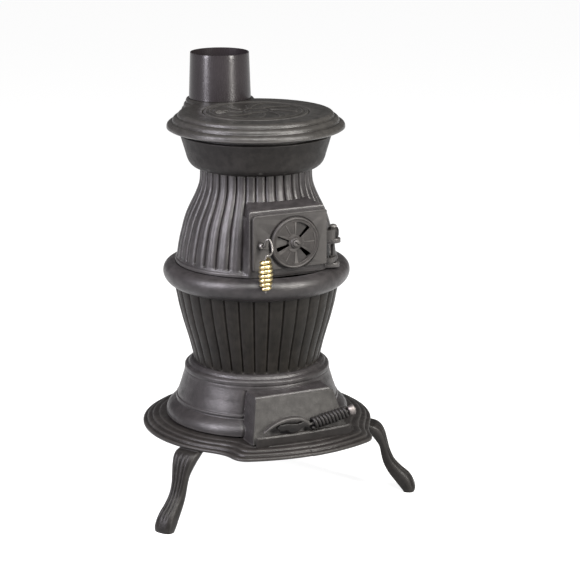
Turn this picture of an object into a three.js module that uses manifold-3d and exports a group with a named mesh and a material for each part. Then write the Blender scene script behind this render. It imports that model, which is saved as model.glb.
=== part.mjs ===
// Potbelly stove: a cast-iron room heater built of stacked round castings on a
// stepped hearth plate with three cabriole legs.
// Units are millimetres, +Z is up, the fire door faces -Y.
// The castings are described about the stove's own vertical axis; the whole
// stove is then moved along Y by AXIS_Y, so that the origin lies on the floor
// under the middle of its bounding box.
import * as THREE from "three";
import { mergeVertices } from "three/addons/utils/BufferGeometryUtils.js";
import Module from "manifold-3d";

// ---------------------------------------------------------------- dimensions
const AXIS_Y = -35.25;         // stove axis, measured from the origin
const GAP = 0.3;               // clearance between touching castings

// hearth plate
const PLATE_R = 240;           // round part of the plate
const PLATE_BOTTOM = 150.5;    // underside of the plate's rim
const LEDGE_R = 373;           // radius of the front edge of the ledge
const LEDGE_FRONT = 266;       // how far the ledge reaches forward
const LEDGE_HALF = 153;        // half width of the ledge
const PLATE_STEPS = [[0, 156.5], [9, 162.5], [20, 167.0], [34, 170.3]]; // [inset, top]
const KERB_TOP = 190;
const KERB_X0 = -102, KERB_X1 = 109;

// ash pit and its front box
const PIT_BOTTOM = 170.6, PIT_TOP = 287.7;
const FACE_Y = -183, FACE_Z = 258, FACE_SLOPE = 0.38;   // plane of the ash door's face
const DOOR_T = 6;              // ash door thickness

// fire pot, waist ring, feed section
const POT_BOTTOM = 288.0, POT_TOP = 456.0;
const RING_R = 193.3;
const FEED_BOTTOM = 494.3, FEED_TOP = 696.0;
const WALL = 8;

// door frame and fire door
const FRAME_Y = -151, FRAME_X0 = -85, FRAME_X1 = 80, FRAME_Z0 = 496.5, FRAME_Z1 = 636;
const OPEN_X0 = -72, OPEN_X1 = 73, OPEN_Z0 = 525.5, OPEN_Z1 = 607.5;
const PIN_X = 108.5, PIN_Y = -136.5, PIN_R = 3.7, KNUCKLE_R = 8;
const WHEEL_X = 11.2, WHEEL_Z = 567, WHEEL_R = 52;
const LATCH_X = -62, LATCH_Z = 567.5;

// smoke bowl, cook top, flue
const BOWL_BOTTOM = 696.3, BOWL_TOP = 769.7;
const TOP_R = 182, TOP_Z = 808.3;
const LID_R = 107.7;
const FLUE_Y = 182, FLUE_R0 = 65.5, FLUE_R1 = 62, FLUE_BOTTOM = 808.6, FLUE_TOP = 905;

// legs
const LEG_AZ = [-60, 60, 180];   // measured from the front, seen from above
const LEG_BOLT_R = 208;

// fasteners
const BOLT_R = 4, HOLE_R = 4.3, HEAD_R = 7.5;
const PIT_BOLT_R = 162, PIT_BOLT_AZ = [-112, 112, 180];

// ---------------------------------------------------------------- colours
const iron = (c, r = 0.55, m = 0.55) => new THREE.MeshStandardMaterial({ color: c, roughness: r, metalness: m });
const BLACK_IRON = () => iron(0x4a4644);
const DARK_IRON = () => iron(0x37332f, 0.7, 0.4);
const PIPE_STEEL = () => iron(0x5a5054, 0.35, 0.7);
const BRASS = () => iron(0xb79d55, 0.3, 1.0);
const NICKEL = () => iron(0xb9b6b0, 0.3, 1.0);
const STEEL = () => iron(0x77746f, 0.45, 0.9);
const BLACK_COIL = () => iron(0x1f1b1a, 0.5, 0.6);

// ---------------------------------------------------------------- helpers
const wasm = await Module();
wasm.setup();
const V = (x, y, z) => new THREE.Vector3(x, y, z);
const rad = THREE.MathUtils.degToRad;

function build(positions, triangles) {
  return new wasm.Manifold(new wasm.Mesh({
    numProp: 3,
    vertProperties: new Float32Array(positions),
    triVerts: new Uint32Array(triangles),
  }));
}
// a closed three.js geometry as a solid with its faces outwards
function solid(geometry) {
  const g = geometry.index ? geometry.toNonIndexed() : geometry.clone();
  g.deleteAttribute("normal");
  g.deleteAttribute("uv");
  const bare = new THREE.BufferGeometry().setAttribute("position", g.getAttribute("position"));
  const m = mergeVertices(bare, 1e-4);
  const t = m.index.array, tri = [];
  for (let i = 0; i < t.length; i += 3)
    if (t[i] !== t[i + 1] && t[i + 1] !== t[i + 2] && t[i] !== t[i + 2]) tri.push(t[i], t[i + 1], t[i + 2]);
  const s = build(m.attributes.position.array, tri);
  if (s.volume() > 0) return s;
  for (let i = 0; i < tri.length; i += 3) [tri[i + 1], tri[i + 2]] = [tri[i + 2], tri[i + 1]];
  return build(m.attributes.position.array, tri);
}
function shell(s) {
  const m = s.getMesh();
  const g = new THREE.BufferGeometry();
  g.setAttribute("position", new THREE.BufferAttribute(new Float32Array(m.vertProperties), 3));
  g.setIndex(Array.from(m.triVerts));
  g.computeVertexNormals();
  return g;
}
// profile of [radius, height] turned about the vertical line through (cx, cy)
function turned(profile, segments = 48, cx = 0, cy = 0, closed = false) {
  const pts = profile.map(([r, z]) => new THREE.Vector2(r, z));
  if (closed) pts.push(pts[0].clone());
  return solid(new THREE.LatheGeometry(pts, segments).rotateX(Math.PI / 2).translate(cx, cy, 0));
}
const ring = (profile, segments = 48, cx = 0, cy = 0) => turned(profile, segments, cx, cy, true);
const disc = (r, z0, z1, segments = 32, cx = 0, cy = 0) =>
  turned([[0, z0], [r, z0], [r, z1], [0, z1]], segments, cx, cy);
function outlineShape(points) {
  return new THREE.Shape(points.map(([x, y]) => new THREE.Vector2(x, y)));
}
// outline in plan, between two heights
function slabZ(points, z0, z1) {
  return solid(new THREE.ExtrudeGeometry(outlineShape(points), { depth: z1 - z0, bevelEnabled: false, steps: 1 }).translate(0, 0, z0));
}
// outline [x, z], between two values of y
function slabY(points, y0, y1) {
  return solid(new THREE.ExtrudeGeometry(outlineShape(points), { depth: y1 - y0, bevelEnabled: false, steps: 1 })
    .translate(0, 0, -y1).rotateX(Math.PI / 2));
}
// outline [y, z], between two values of x
function slabX(points, x0, x1) {
  return solid(new THREE.ExtrudeGeometry(outlineShape(points), { depth: x1 - x0, bevelEnabled: false, steps: 1 })
    .translate(0, 0, x0).applyMatrix4(new THREE.Matrix4().makeBasis(V(0, 1, 0), V(0, 0, 1), V(1, 0, 0))));
}
const box = (x0, x1, y0, y1, z0, z1) =>
  solid(new THREE.BoxGeometry(x1 - x0, y1 - y0, z1 - z0).translate((x0 + x1) / 2, (y0 + y1) / 2, (z0 + z1) / 2));
// round bar along y
function yBar(r, x, z, y0, y1, segments = 24) {
  return solid(new THREE.CylinderGeometry(r, r, y1 - y0, segments).translate(0, (y0 + y1) / 2, 0).translate(x, 0, z));
}
// round bar between two points
function bar(a, b, r0, r1 = r0, segments = 16) {
  const d = b.clone().sub(a);
  const g = new THREE.CylinderGeometry(r1, r0, d.length(), segments);
  g.applyQuaternion(new THREE.Quaternion().setFromUnitVectors(V(0, 1, 0), d.clone().normalize()));
  return solid(g.translate((a.x + b.x) / 2, (a.y + b.y) / 2, (a.z + b.z) / 2));
}
// round wire along a curve through points
function wire(points, r, steps = 24, segments = 10) {
  const circle = new THREE.Shape(Array.from({ length: segments }, (_, i) =>
    new THREE.Vector2(r * Math.cos(2 * Math.PI * i / segments), r * Math.sin(2 * Math.PI * i / segments))));
  return solid(new THREE.ExtrudeGeometry(circle, { steps, bevelEnabled: false, extrudePath: new THREE.CatmullRomCurve3(points, false, "centripetal") }));
}
// skin over a row of sections with the same number of points
function loft(sections) {
  const n = sections[0].length, pos = [], tri = [];
  for (const s of sections) for (const p of s) pos.push(p.x, p.y, p.z);
  for (let i = 0; i + 1 < sections.length; i++)
    for (let j = 0; j < n; j++) {
      const a = i * n + j, b = i * n + (j + 1) % n, c = a + n, d = b + n;
      tri.push(a, b, d, a, d, c);
    }
  for (const [k, flip] of [[0, true], [sections.length - 1, false]]) {
    const c = sections[k].reduce((q, p) => q.add(p), V(0, 0, 0)).divideScalar(n);
    const ci = pos.length / 3;
    pos.push(c.x, c.y, c.z);
    for (let j = 0; j < n; j++) {
      const a = k * n + j, b = k * n + (j + 1) % n;
      if (flip) tri.push(ci, b, a); else tri.push(ci, a, b);
    }
  }
  const g = new THREE.BufferGeometry();
  g.setAttribute("position", new THREE.Float32BufferAttribute(pos, 3));
  g.setIndex(tri);
  return solid(g);
}
// plan position at an azimuth measured from the front (-Y) towards +X
const polar = (r, az) => [r * Math.sin(rad(az)), -r * Math.cos(rad(az))];

const stove = new THREE.Group();
stove.position.set(0, AXIS_Y, 0);
function piece(name, s, material, parent = stove) {
  const mesh = new THREE.Mesh(shell(s), material);
  mesh.name = name;
  parent.add(mesh);
  return mesh;
}

// ---------------------------------------------------------------- hearth plate
const smin = (a, b, k) => Math.min(a, b) - Math.max(k - Math.abs(a - b), 0) ** 2 / (4 * k);
const smax = (a, b, k) => -smin(-a, -b, k);
// distance-like field of the plate's outline: a circle with a ledge in front
function plateField(x, y) {
  const round = Math.hypot(x, y) - PLATE_R;
  const front = Math.hypot(x, y - (LEDGE_R - LEDGE_FRONT)) - LEDGE_R;
  const ledge = smax(smax(front, Math.abs(x) - LEDGE_HALF, 26), y + 120, 5);
  return smin(round, ledge, 26);
}
function plateOutline(inset, count = 60) {
  const pts = [];
  for (let i = 0; i < count; i++) {
    const az = 360 * i / count;
    let lo = 120, hi = 330;
    for (let k = 0; k < 36; k++) {
      const mid = (lo + hi) / 2, [x, y] = polar(mid, az);
      if (plateField(x, y) > -inset) hi = mid; else lo = mid;
    }
    pts.push(polar(lo, az));
  }
  return pts;
}
let plate = null;
for (const [inset, top] of PLATE_STEPS) {
  const layer = slabZ(plateOutline(inset), PLATE_BOTTOM, top);
  plate = plate ? plate.add(layer) : layer;
}
plate = plate.subtract(slabZ(plateOutline(9, 40), PLATE_BOTTOM - 5, 153.5))
  .subtract(slabZ(plateOutline(28, 40), PLATE_BOTTOM - 5, 160));
for (const az of LEG_AZ) {
  const turn = (s) => s.rotate([0, 0, az - 90]);
  plate = plate.add(turn(box(190, 229, -27, 27, PLATE_BOTTOM, 162)));
  const [bx, by] = polar(LEG_BOLT_R, az);
  plate = plate.subtract(disc(HOLE_R, 140, 159, 12, bx, by));
}
for (const az of PIT_BOLT_AZ) {
  const [bx, by] = polar(PIT_BOLT_R, az);
  plate = plate.subtract(disc(HOLE_R, 140, 180, 12, bx, by));
}
// kerb in front of the ash door: its front is slightly bowed
const kerbFront = [];
for (let i = 0; i <= 10; i++) {
  const x = KERB_X0 + (KERB_X1 - KERB_X0) * i / 10;
  kerbFront.push([x, -226.5 + 0.00045 * x * x]);
}
plate = plate.add(slabZ([...kerbFront, [KERB_X1, -217.6], [KERB_X0, -217.6]], 166, KERB_TOP));
piece("base_plate", plate, BLACK_IRON());

// ---------------------------------------------------------------- ash pit
const faceY = (z) => FACE_Y - FACE_SLOPE * (FACE_Z - z);
const N_LEN = Math.hypot(1, FACE_SLOPE);
const rimY = (z) => faceY(z) + (DOOR_T + GAP) * N_LEN;
const bellOuter = [[190, PIT_BOTTOM], [190.5, 178], [186, 189], [171, 202], [167, 214], [161, 232],
  [153, 258], [149.5, 272], [143, 282], [137, PIT_TOP]];
const bellInner = [[112, PIT_TOP], [112, 281.5], [134, 280], [149, 242], [158, 213], [165, 199], [182, 178], [183, PIT_BOTTOM]];
let pit = ring([...bellOuter, ...bellInner], 36);
const boxSide = [[rimY(PIT_BOTTOM), PIT_BOTTOM], [rimY(FACE_Z), FACE_Z], [-150, 260.5], [-118, 260.5], [-118, PIT_BOTTOM]];
const boxFront = [[-105, PIT_BOTTOM - 1], [-84, FACE_Z], [-81, 275], [81, 275], [84, FACE_Z], [105, PIT_BOTTOM - 1]];
const boxOuter = slabX(boxSide, -120, 120).intersect(slabY(boxFront, -260, -60));
const cavSide = [[-260, 150], [-260, 251], [rimY(251) + 2, 251], [-150, 254], [-100, 254], [-100, 150]];
const cavFront = [[-98.8, PIT_BOTTOM - 10], [-77, FACE_Z - 6], [-75, 270], [75, 270], [77, FACE_Z - 6], [98.8, PIT_BOTTOM - 10]];
const cavity = slabX(cavSide, -120, 120).intersect(slabY(cavFront, -300, -60));
pit = pit.add(boxOuter).subtract(cavity);
for (const az of PIT_BOLT_AZ) {
  const [bx, by] = polar(PIT_BOLT_R, az);
  pit = pit.add(box(150, 182, -11, 11, PIT_BOTTOM, 181.5).rotate([0, 0, az - 90]))
    .subtract(disc(HOLE_R, 160, 190, 12, bx, by));
}
piece("ash_pit", pit, BLACK_IRON());

// ash door: a plate that leans on the front box and stands behind the kerb
const doorGroup = new THREE.Group();
const up = V(0, FACE_SLOPE, 1).normalize(), out = V(0, -1, FACE_SLOPE).normalize();
doorGroup.quaternion.setFromRotationMatrix(new THREE.Matrix4().makeBasis(V(1, 0, 0), up, out));
doorGroup.position.set(0, FACE_Y - DOOR_T * out.y, FACE_Z - DOOR_T * out.z);
stove.add(doorGroup);
const drop = (FACE_Z - 173.2) * N_LEN;
const doorPlate = slabZ([[-86, 0], [-107, -drop], [107, -drop], [86, 0]], 0, DOOR_T);
piece("ash_door", doorPlate, BLACK_IRON(), doorGroup);

// bolts from below that hold the ash pit on the plate
const boltNames = ["left", "right", "rear"];
PIT_BOLT_AZ.forEach((az, i) => {
  const [bx, by] = polar(PIT_BOLT_R, az);
  piece("pit_bolt_" + boltNames[i],
    disc(HEAD_R, 153, 159.7, 6, bx, by).add(disc(BOLT_R, 156, 190.5, 12, bx, by)), STEEL());
  piece("pit_nut_" + boltNames[i],
    disc(HEAD_R, 181.8, 188, 6, bx, by).subtract(disc(HOLE_R, 170, 200, 12, bx, by)), STEEL());
});

// ---------------------------------------------------------------- legs
// side outline of one leg: [outer radius, outer z, inner radius, inner z, half width]
const LEG = [
  [244, 150.0, 220, 146.0, 27], [255, 148, 231, 137, 27], [264.5, 140.5, 240.5, 128, 25.5], [271.5, 126.5, 251, 114.5, 22.5],
  [276.2, 109, 259, 101, 19.5], [281.3, 90, 262.5, 84, 17], [290.8, 69, 268, 63, 16.5], [307.5, 51, 279, 42, 17.5],
  [323.5, 37, 292, 25.5, 19.5], [332.8, 21, 303, 12.5, 21], [336.5, 7, 309.5, 4, 21], [334.8, 0, 312, 0, 20]];
function legSolid() {
  const sections = LEG.map(([ro, zo, ri, zi, h]) => {
    const lerp = (t, w) => V(ro + (ri - ro) * t, w, zo + (zi - zo) * t);
    return [lerp(0, -h * 0.62), lerp(0.28, -h), lerp(0.75, -h), lerp(1, -h * 0.8),
      lerp(1, h * 0.8), lerp(0.75, h), lerp(0.28, h), lerp(0, h * 0.62)];
  });
  return loft(sections)
    .add(box(195, 240, -24, 24, 143, 150.0))
    .subtract(disc(HOLE_R, 130, 160, 12, LEG_BOLT_R, 0));
}
const legNames = ["leg_front_left", "leg_front_right", "leg_rear"];
LEG_AZ.forEach((az, i) => {
  const g = new THREE.Group();
  g.rotation.z = rad(az - 90);
  stove.add(g);
  piece(legNames[i], legSolid(), BLACK_IRON(), g);
  piece(legNames[i].replace("leg_", "leg_bolt_"),
    disc(HEAD_R, 136, 142.7, 6, LEG_BOLT_R, 0).add(disc(BOLT_R, 140, 158.5, 12, LEG_BOLT_R, 0)), STEEL(), g);
});

// ---------------------------------------------------------------- fire pot
const potOuter = [[131, POT_BOTTOM], [139.2, 322.8], [149, 357.7], [158.4, 392.3], [166, 427], [171, POT_TOP]];
const potInner = potOuter.map(([r, z]) => [r - WALL, z]).reverse();
piece("fire_pot", ring([...potOuter, ...potInner], 36), BLACK_IRON());

// grate: a fixed ring on the ash pit's flange, and a round shaking grate on it
let grateRing = ring([[100, 280], [106, 280], [106, 288], [120.5, 288], [120.5, 296], [100, 296]], 40)
  .add(box(-103, 103, -8, 8, 280, 287.4))
  .subtract(disc(5.3, 270, 300, 12));
piece("grate_ring", grateRing, DARK_IRON());
let grate = disc(98.5, 287.8, 296, 40);
for (const x of [-74, -54, -34, -17, 17, 34, 54, 74]) {
  const h = Math.sqrt(88 * 88 - x * x) - 6;
  grate = grate.subtract(box(x - 4.5, x + 4.5, 9, h, 280, 300)).subtract(box(x - 4.5, x + 4.5, -h + (Math.abs(x) < 20 ? 14 : 0), -9, 280, 300));
}
grate = grate.subtract(disc(5.3, 270, 300, 12))
  .add(box(-6, 6, -92, -82, 246, 290)).add(box(-6, 6, -160, -82, 246, 252));
piece("shaker_grate", grate, DARK_IRON());
piece("grate_bolt", disc(11, 296.3, 301, 6).add(disc(5, 270, 298, 12)), STEEL());
piece("grate_nut", disc(10, 273.5, 279.7, 6).subtract(disc(5.3, 260, 290, 12)), STEEL());

// ---------------------------------------------------------------- waist ring
piece("waist_ring", ring([[160, 456.3], [171.6, 456.3], [171.6, 452.5], [184.4, 460], [191.3, 469], [RING_R, 478.4],
  [191.5, 488], [186, 495], [178, 498.2], [169, 499.2], [169, 494], [160, 494]], 36), BLACK_IRON());

// ---------------------------------------------------------------- feed section
const feedOuter = [[168.4, FEED_BOTTOM], [168.4, 508], [165, 510], [159.5, 544], [153, 571], [147, 592], [138, 613.5], [126, 638], [118, 658], [115.6, 672], [115.2, 684], [115.2, FEED_TOP]];
const feedCore = [[0, FEED_BOTTOM - 5], [160.2, FEED_BOTTOM - 5], [159, 505], [151.5, 544], [145, 571], [130, 613.5], [118, 638], [110, 658], [107, 672], [107, FEED_TOP + 5], [0, FEED_TOP + 5]];
let feed = turned([[0, FEED_BOTTOM], ...feedOuter, [0, FEED_TOP]], 36);
// the front is flat where the fire door closes on it, with a sloping roof above
feed = feed.subtract(box(FRAME_X0, FRAME_X1, -200, FRAME_Y, FRAME_Z0, 645))
  .add(slabX([[FRAME_Y, 499.6], [FRAME_Y, FRAME_Z1], [-122, 645.5], [-90, 645.5], [-90, 499.6]], FRAME_X0, FRAME_X1))
  .add(box(-70, 68, FRAME_Y, -140, 494.6, 500));
const WALL_Y = FRAME_Y + 7;
feed = feed.subtract(turned(feedCore, 36).subtract(box(-120, 120, -200, WALL_Y, 480, 660)))
  .subtract(slabX([[WALL_Y, 510], [WALL_Y, 628], [-118, 636], [-60, 636], [-60, 510]], -79, 73))
  .subtract(box(OPEN_X0, OPEN_X1, FRAME_Y - 10, -60, OPEN_Z0, OPEN_Z1));
// two ears for the hinge pin, on the right of the frame
for (const [z0, z1, x0, y0, x1, y1] of [[502, 511.7, 84, -146, 99, -127], [551.5, 561.5, 79, -149, 91, -119]]) {
  feed = feed.add(disc(12.5, z0, z1, 24, PIN_X + 1, PIN_Y)).add(slabZ([[x0, y0], [PIN_X + 1, PIN_Y - 12], [PIN_X + 1, PIN_Y + 12], [x1, y1]], z0, z1));
}
feed = feed.subtract(disc(4.0, 490, 600, 16, PIN_X, PIN_Y));
piece("feed_section", feed, BLACK_IRON());

// ---------------------------------------------------------------- fire door
const DZ0 = 514.5, DZ1 = 619.5, DX0 = -79, DX1 = 84, DY0 = -158.3, DY1 = FRAME_Y - GAP;
let door = slabY([[DX0 + 6, DZ0], [DX1 - 4, DZ0], [DX1, DZ0 + 4], [DX1, DZ1 - 4], [DX1 - 4, DZ1], [DX0 + 6, DZ1], [DX0, DZ1 - 6], [DX0, DZ0 + 6]], DY0, DY1);
for (const [z0, z1] of [[512, 525.5], [561.8, 583.5]]) {
  door = door.add(disc(KNUCKLE_R, z0, z1, 24, PIN_X, PIN_Y))
    .add(slabZ([[DX1 - 10, DY0], [DX1 + 12, DY0], [PIN_X + 7.2, PIN_Y - 3.5], [PIN_X - 6, PIN_Y + 3], [PIN_X - 8, PIN_Y - 6], [PIN_X - 8, DY1], [DX1 - 10, DY1]], Math.max(z0, 515), z1));
}
door = door.subtract(disc(4.0, 490, 600, 16, PIN_X, PIN_Y));
const sector = (r0, r1, a0, a1, cx, cz, y0, y1) => {
  const pts = [];
  for (let i = 0; i <= 6; i++) { const a = rad(a0 + (a1 - a0) * i / 6); pts.push([cx + r1 * Math.cos(a), cz + r1 * Math.sin(a)]); }
  for (let i = 3; i >= 0; i--) { const a = rad(a0 + (a1 - a0) * i / 3); pts.push([cx + r0 * Math.cos(a), cz + r0 * Math.sin(a)]); }
  return slabY(pts, y0, y1);
};
for (const a of [-20, 100, 220]) door = door.subtract(sector(15, 38, a - 22, a + 22, WHEEL_X, WHEEL_Z, DY0 - 5, DY1 + 5));
door = door.subtract(yBar(HOLE_R, WHEEL_X, WHEEL_Z, -175, -135, 16)).subtract(yBar(5.3, LATCH_X, LATCH_Z, -175, -135, 16));
piece("fire_door", door, BLACK_IRON());

// hinge pin with a domed head
piece("hinge_pin", turned([[0, 500.5], [PIN_R, 500.5], [PIN_R, 583.9], [6.2, 583.9], [6.2, 586.5], [4, 589.5], [0, 590.5]], 16, PIN_X, PIN_Y), STEEL());

// draft wheel: three air windows that pass over three in the door
let wheel = yBar(WHEEL_R, WHEEL_X, WHEEL_Z, -162.6, DY0 - GAP, 36)
  .add(yBar(WHEEL_R, WHEEL_X, WHEEL_Z, -165.6, -160, 36).subtract(yBar(WHEEL_R - 5, WHEEL_X, WHEEL_Z, -175, -155, 36)))
  .add(yBar(11, WHEEL_X, WHEEL_Z, -167.5, -160, 24));
for (const a of [61, 181, 301]) wheel = wheel.subtract(sector(16, 43, a - 26, a + 26, WHEEL_X, WHEEL_Z, -175, -145));
wheel = wheel.subtract(yBar(HOLE_R, WHEEL_X, WHEEL_Z, -175, -145, 16));
piece("draft_wheel", wheel, BLACK_IRON());
piece("wheel_screw", yBar(8, WHEEL_X, WHEEL_Z, -171.4, -167.8, 20)
  .add(yBar(BOLT_R, WHEEL_X, WHEEL_Z, -169, -143, 16))
  .subtract(box(WHEEL_X - 9, WHEEL_X + 9, -173, -170.2, WHEEL_Z - 1, WHEEL_Z + 1)), STEEL());
piece("wheel_nut", yBar(HEAD_R, WHEEL_X, WHEEL_Z, -151, -145.5, 6).subtract(yBar(HOLE_R, WHEEL_X, WHEEL_Z, -155, -135, 16)), STEEL());

// latch: a shaft through the door with a tongue behind the frame and a sprung grip outside
const COIL_X = -70, COIL_Y = -197;
piece("latch_shaft", yBar(8, LATCH_X, LATCH_Z, -168, DY0 - GAP, 20).add(yBar(5, LATCH_X, LATCH_Z, -163, -129, 16)), NICKEL());
piece("latch_rod", wire([V(LATCH_X + 1, -171, LATCH_Z + 2), V(-59, -176, 580.5), V(-54.5, -180, 584), V(-51.5, -185, 575), V(-52.5, -190.5, 562), V(-59, -195, 556.5), V(COIL_X, COIL_Y, 555)], 2.4, 24, 8)
  .add(bar(V(COIL_X, COIL_Y, 482), V(COIL_X, COIL_Y, 557), 2.4, 2.4, 8)), NICKEL());
piece("latch_coil", ring([[3, 486], [9, 486], [11.5, 489], [13.5, 500], [14.5, 512], [14.5, 524], [13.5, 538], [11.5, 549], [9, 552], [3, 552]], 20, COIL_X, COIL_Y)
  .subtract(box(COIL_X - 6, COIL_X + 6, -205, -191, 546, 553)), BRASS());
piece("latch_tongue", slabY([[LATCH_X - 7, LATCH_Z + 7], [LATCH_X - 7, LATCH_Z - 11], [LATCH_X - 4, LATCH_Z - 14], [LATCH_X + 4, LATCH_Z - 14], [LATCH_X + 7, LATCH_Z - 11], [LATCH_X + 7, LATCH_Z + 7]], -143.2, -136.5)
  .subtract(yBar(5.3, LATCH_X, LATCH_Z, -155, -125, 16)), STEEL());
piece("latch_nut", yBar(HEAD_R + 1, LATCH_X, LATCH_Z, -136.2, -131, 6).subtract(yBar(5.3, LATCH_X, LATCH_Z, -155, -125, 16)), STEEL());

// ---------------------------------------------------------------- smoke bowl
const bowlOuter = [[116, BOWL_BOTTOM], [124, 696.8], [131.5, 700], [138, 707.5], [145, 727], [157, BOWL_TOP]];
const bowlCore = [[0, BOWL_BOTTOM - 5], [107, BOWL_BOTTOM - 5], [107, 697], [121, 701.5], [129, 710], [135, 720], [150.5, BOWL_TOP + 5], [0, BOWL_TOP + 5]];
let bowl = turned([[0, BOWL_BOTTOM], ...bowlOuter, [0, BOWL_TOP]], 36)
  .add(turned([[0, 700], [36, 700], [62, 733], [72, BOWL_TOP], [0, BOWL_TOP]], 28, 0, FLUE_Y - 6))
  .subtract(turned(bowlCore, 36))
  .subtract(turned([[0, 708], [30, 708], [55, 739], [65, BOWL_TOP + 5], [0, BOWL_TOP + 5]], 28, 0, FLUE_Y - 6));
piece("smoke_bowl", bowl, BLACK_IRON());

// ---------------------------------------------------------------- cook top
const topOuter = [[0, 770], [174, 770], [TOP_R, 778], [173, 789.5], [169, 797.5], [158, 802], [152, TOP_Z], [0, TOP_Z]];
let top = turned(topOuter, 40)
  .add(turned([[0, 770], [76, 770], [82, 778], [74, 790], [69, TOP_Z], [0, TOP_Z]], 32, 0, FLUE_Y))
  .subtract(turned([[0, 760], [148, 760], [148, 790], [140, 799], [0, 799]], 36))
  .subtract(turned([[0, 760], [64, 760], [62, 795], [0, 795]], 28, 0, FLUE_Y - 4))
  .add(turned([[0, 790], [62, 790], [61.5, 832], [0, 832]], 28, 0, FLUE_Y))
  .add(ring([[97, 792], [112, 792], [112, 800], [97, 800]], 40))
  .subtract(turned([[0, 780], [97, 780], [97, 800], [LID_R + 0.6, 800], [LID_R + 0.6, 820], [0, 820]], 40))
  .subtract(disc(57.5, 750, 850, 28, 0, FLUE_Y));
piece("cook_top", top, BLACK_IRON());

// lid with a pocket that the lifter hooks into
const lid = disc(LID_R, 800.3, 808.8, 40).subtract(box(-82, -52, 6, 22, 804, 815));
piece("cook_lid", lid, BLACK_IRON());

// ---------------------------------------------------------------- flue pipe
piece("flue_pipe", ring([[FLUE_R0, FLUE_BOTTOM], [FLUE_R1, FLUE_TOP], [FLUE_R1 - 2, FLUE_TOP], [FLUE_R0 - 2, FLUE_BOTTOM]], 36, 0, FLUE_Y), PIPE_STEEL());

// ---------------------------------------------------------------- lid lifter
// it lies on the kerb in front of the ash door
const LA = V(15, -224, 203.5), LB = V(101, -226, 220), LU = LB.clone().sub(LA).normalize();
const along = (t) => LA.clone().addScaledVector(LU, t);
const bladeRow = [[-86, 199.5, 2.2, 3.5], [-76, 206, 3.4, 5], [-62, 213.5, 4.4, 6.5], [-44, 218.5, 5, 7.5], [-24, 219.5, 5, 8], [-6, 216, 5, 8], [4, 211, 5, 7.5], [12, 205, 4.5, 6.5]];
const blade = loft(bladeRow.map(([x, z, h, w]) => [V(x, -222 - w, z - h), V(x, -222 - w, z + h), V(x, -222 + w, z + h), V(x, -222 + w, z - h)]))
  .add(slabY([[-52, 214], [-44, 200], [-30, 192.5], [-16, 192.5], [-6, 200], [4, 206], [-4, 216]], -227, -218))
  .add(bar(along(-8), along(102), 3, 3, 12));
piece("lifter_shank", blade, DARK_IRON());
piece("lifter_coil", bar(along(1), along(86), 12.6, 12.6, 20).subtract(bar(along(-5), along(95), 3.3, 3.3, 12)), BLACK_COIL());
piece("lifter_cap", bar(along(86.4), along(99), 8.5, 10.5, 20).subtract(bar(along(80), along(110), 3.3, 3.3, 12)), NICKEL());

export default stove;
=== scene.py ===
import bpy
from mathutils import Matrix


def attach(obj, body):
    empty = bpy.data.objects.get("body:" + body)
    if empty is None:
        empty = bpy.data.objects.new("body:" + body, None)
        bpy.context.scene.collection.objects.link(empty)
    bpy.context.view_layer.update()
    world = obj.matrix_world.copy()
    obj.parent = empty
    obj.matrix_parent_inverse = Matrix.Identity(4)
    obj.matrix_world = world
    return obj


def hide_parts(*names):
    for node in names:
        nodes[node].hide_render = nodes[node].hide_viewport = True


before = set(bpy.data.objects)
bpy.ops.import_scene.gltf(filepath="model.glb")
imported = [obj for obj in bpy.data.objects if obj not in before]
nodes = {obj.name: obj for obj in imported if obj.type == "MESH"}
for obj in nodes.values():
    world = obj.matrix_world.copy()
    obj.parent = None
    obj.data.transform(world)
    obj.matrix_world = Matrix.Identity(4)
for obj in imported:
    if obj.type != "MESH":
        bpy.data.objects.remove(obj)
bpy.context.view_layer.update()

import math

import bmesh
import bpy
import numpy as np
from mathutils import Matrix, Vector

# Shapes are written in millimetres about the stove's own vertical axis, as the
# construction is; the axis stands 35.25 mm in front of the origin.
AXIS = np.array([0.0, -35.25, 0.0])
TAU = 2 * math.pi
rad = math.radians


# ------------------------------------------------------------------ small maths
def smin(a, b, k):
    return np.minimum(a, b) - np.maximum(k - np.abs(a - b), 0) ** 2 / (4 * k)


def smax(a, b, k):
    return -smin(-a, -b, k)


def smooth(t):
    t = np.clip(t, 0, 1)
    return t * t * (3 - 2 * t)


def catmull(points, count, closed=False):
    """A smooth line through points, evenly spread over its length."""
    p = np.asarray(points, float)
    if closed:
        p = np.vstack([p[-1:], p, p[:2]])
    else:
        p = np.vstack([2 * p[0] - p[1], p, 2 * p[-1] - p[-2]])
    out = []
    for i in range(1, len(p) - 2):
        a, b, c, d = p[i - 1], p[i], p[i + 1], p[i + 2]
        # centripetal form, which keeps uneven spacing from overshooting
        t0 = 0.0
        t1 = t0 + max(np.linalg.norm(b - a), 1e-6) ** 0.5
        t2 = t1 + max(np.linalg.norm(c - b), 1e-6) ** 0.5
        t3 = t2 + max(np.linalg.norm(d - c), 1e-6) ** 0.5
        for t in np.linspace(t1, t2, 24, endpoint=False):
            a1 = (t1 - t) / (t1 - t0) * a + (t - t0) / (t1 - t0) * b
            a2 = (t2 - t) / (t2 - t1) * b + (t - t1) / (t2 - t1) * c
            a3 = (t3 - t) / (t3 - t2) * c + (t - t2) / (t3 - t2) * d
            b1 = (t2 - t) / (t2 - t0) * a1 + (t - t0) / (t2 - t0) * a2
            b2 = (t3 - t) / (t3 - t1) * a2 + (t - t1) / (t3 - t1) * a3
            out.append((t2 - t) / (t2 - t1) * b1 + (t - t1) / (t2 - t1) * b2)
    out.append(p[-2])
    out = np.array(out)
    s = np.concatenate([[0], np.cumsum(np.linalg.norm(np.diff(out, axis=0), axis=1))])
    u = np.linspace(0, s[-1], count)
    return np.stack([np.interp(u, s, out[:, k]) for k in range(out.shape[1])], 1)


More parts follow.
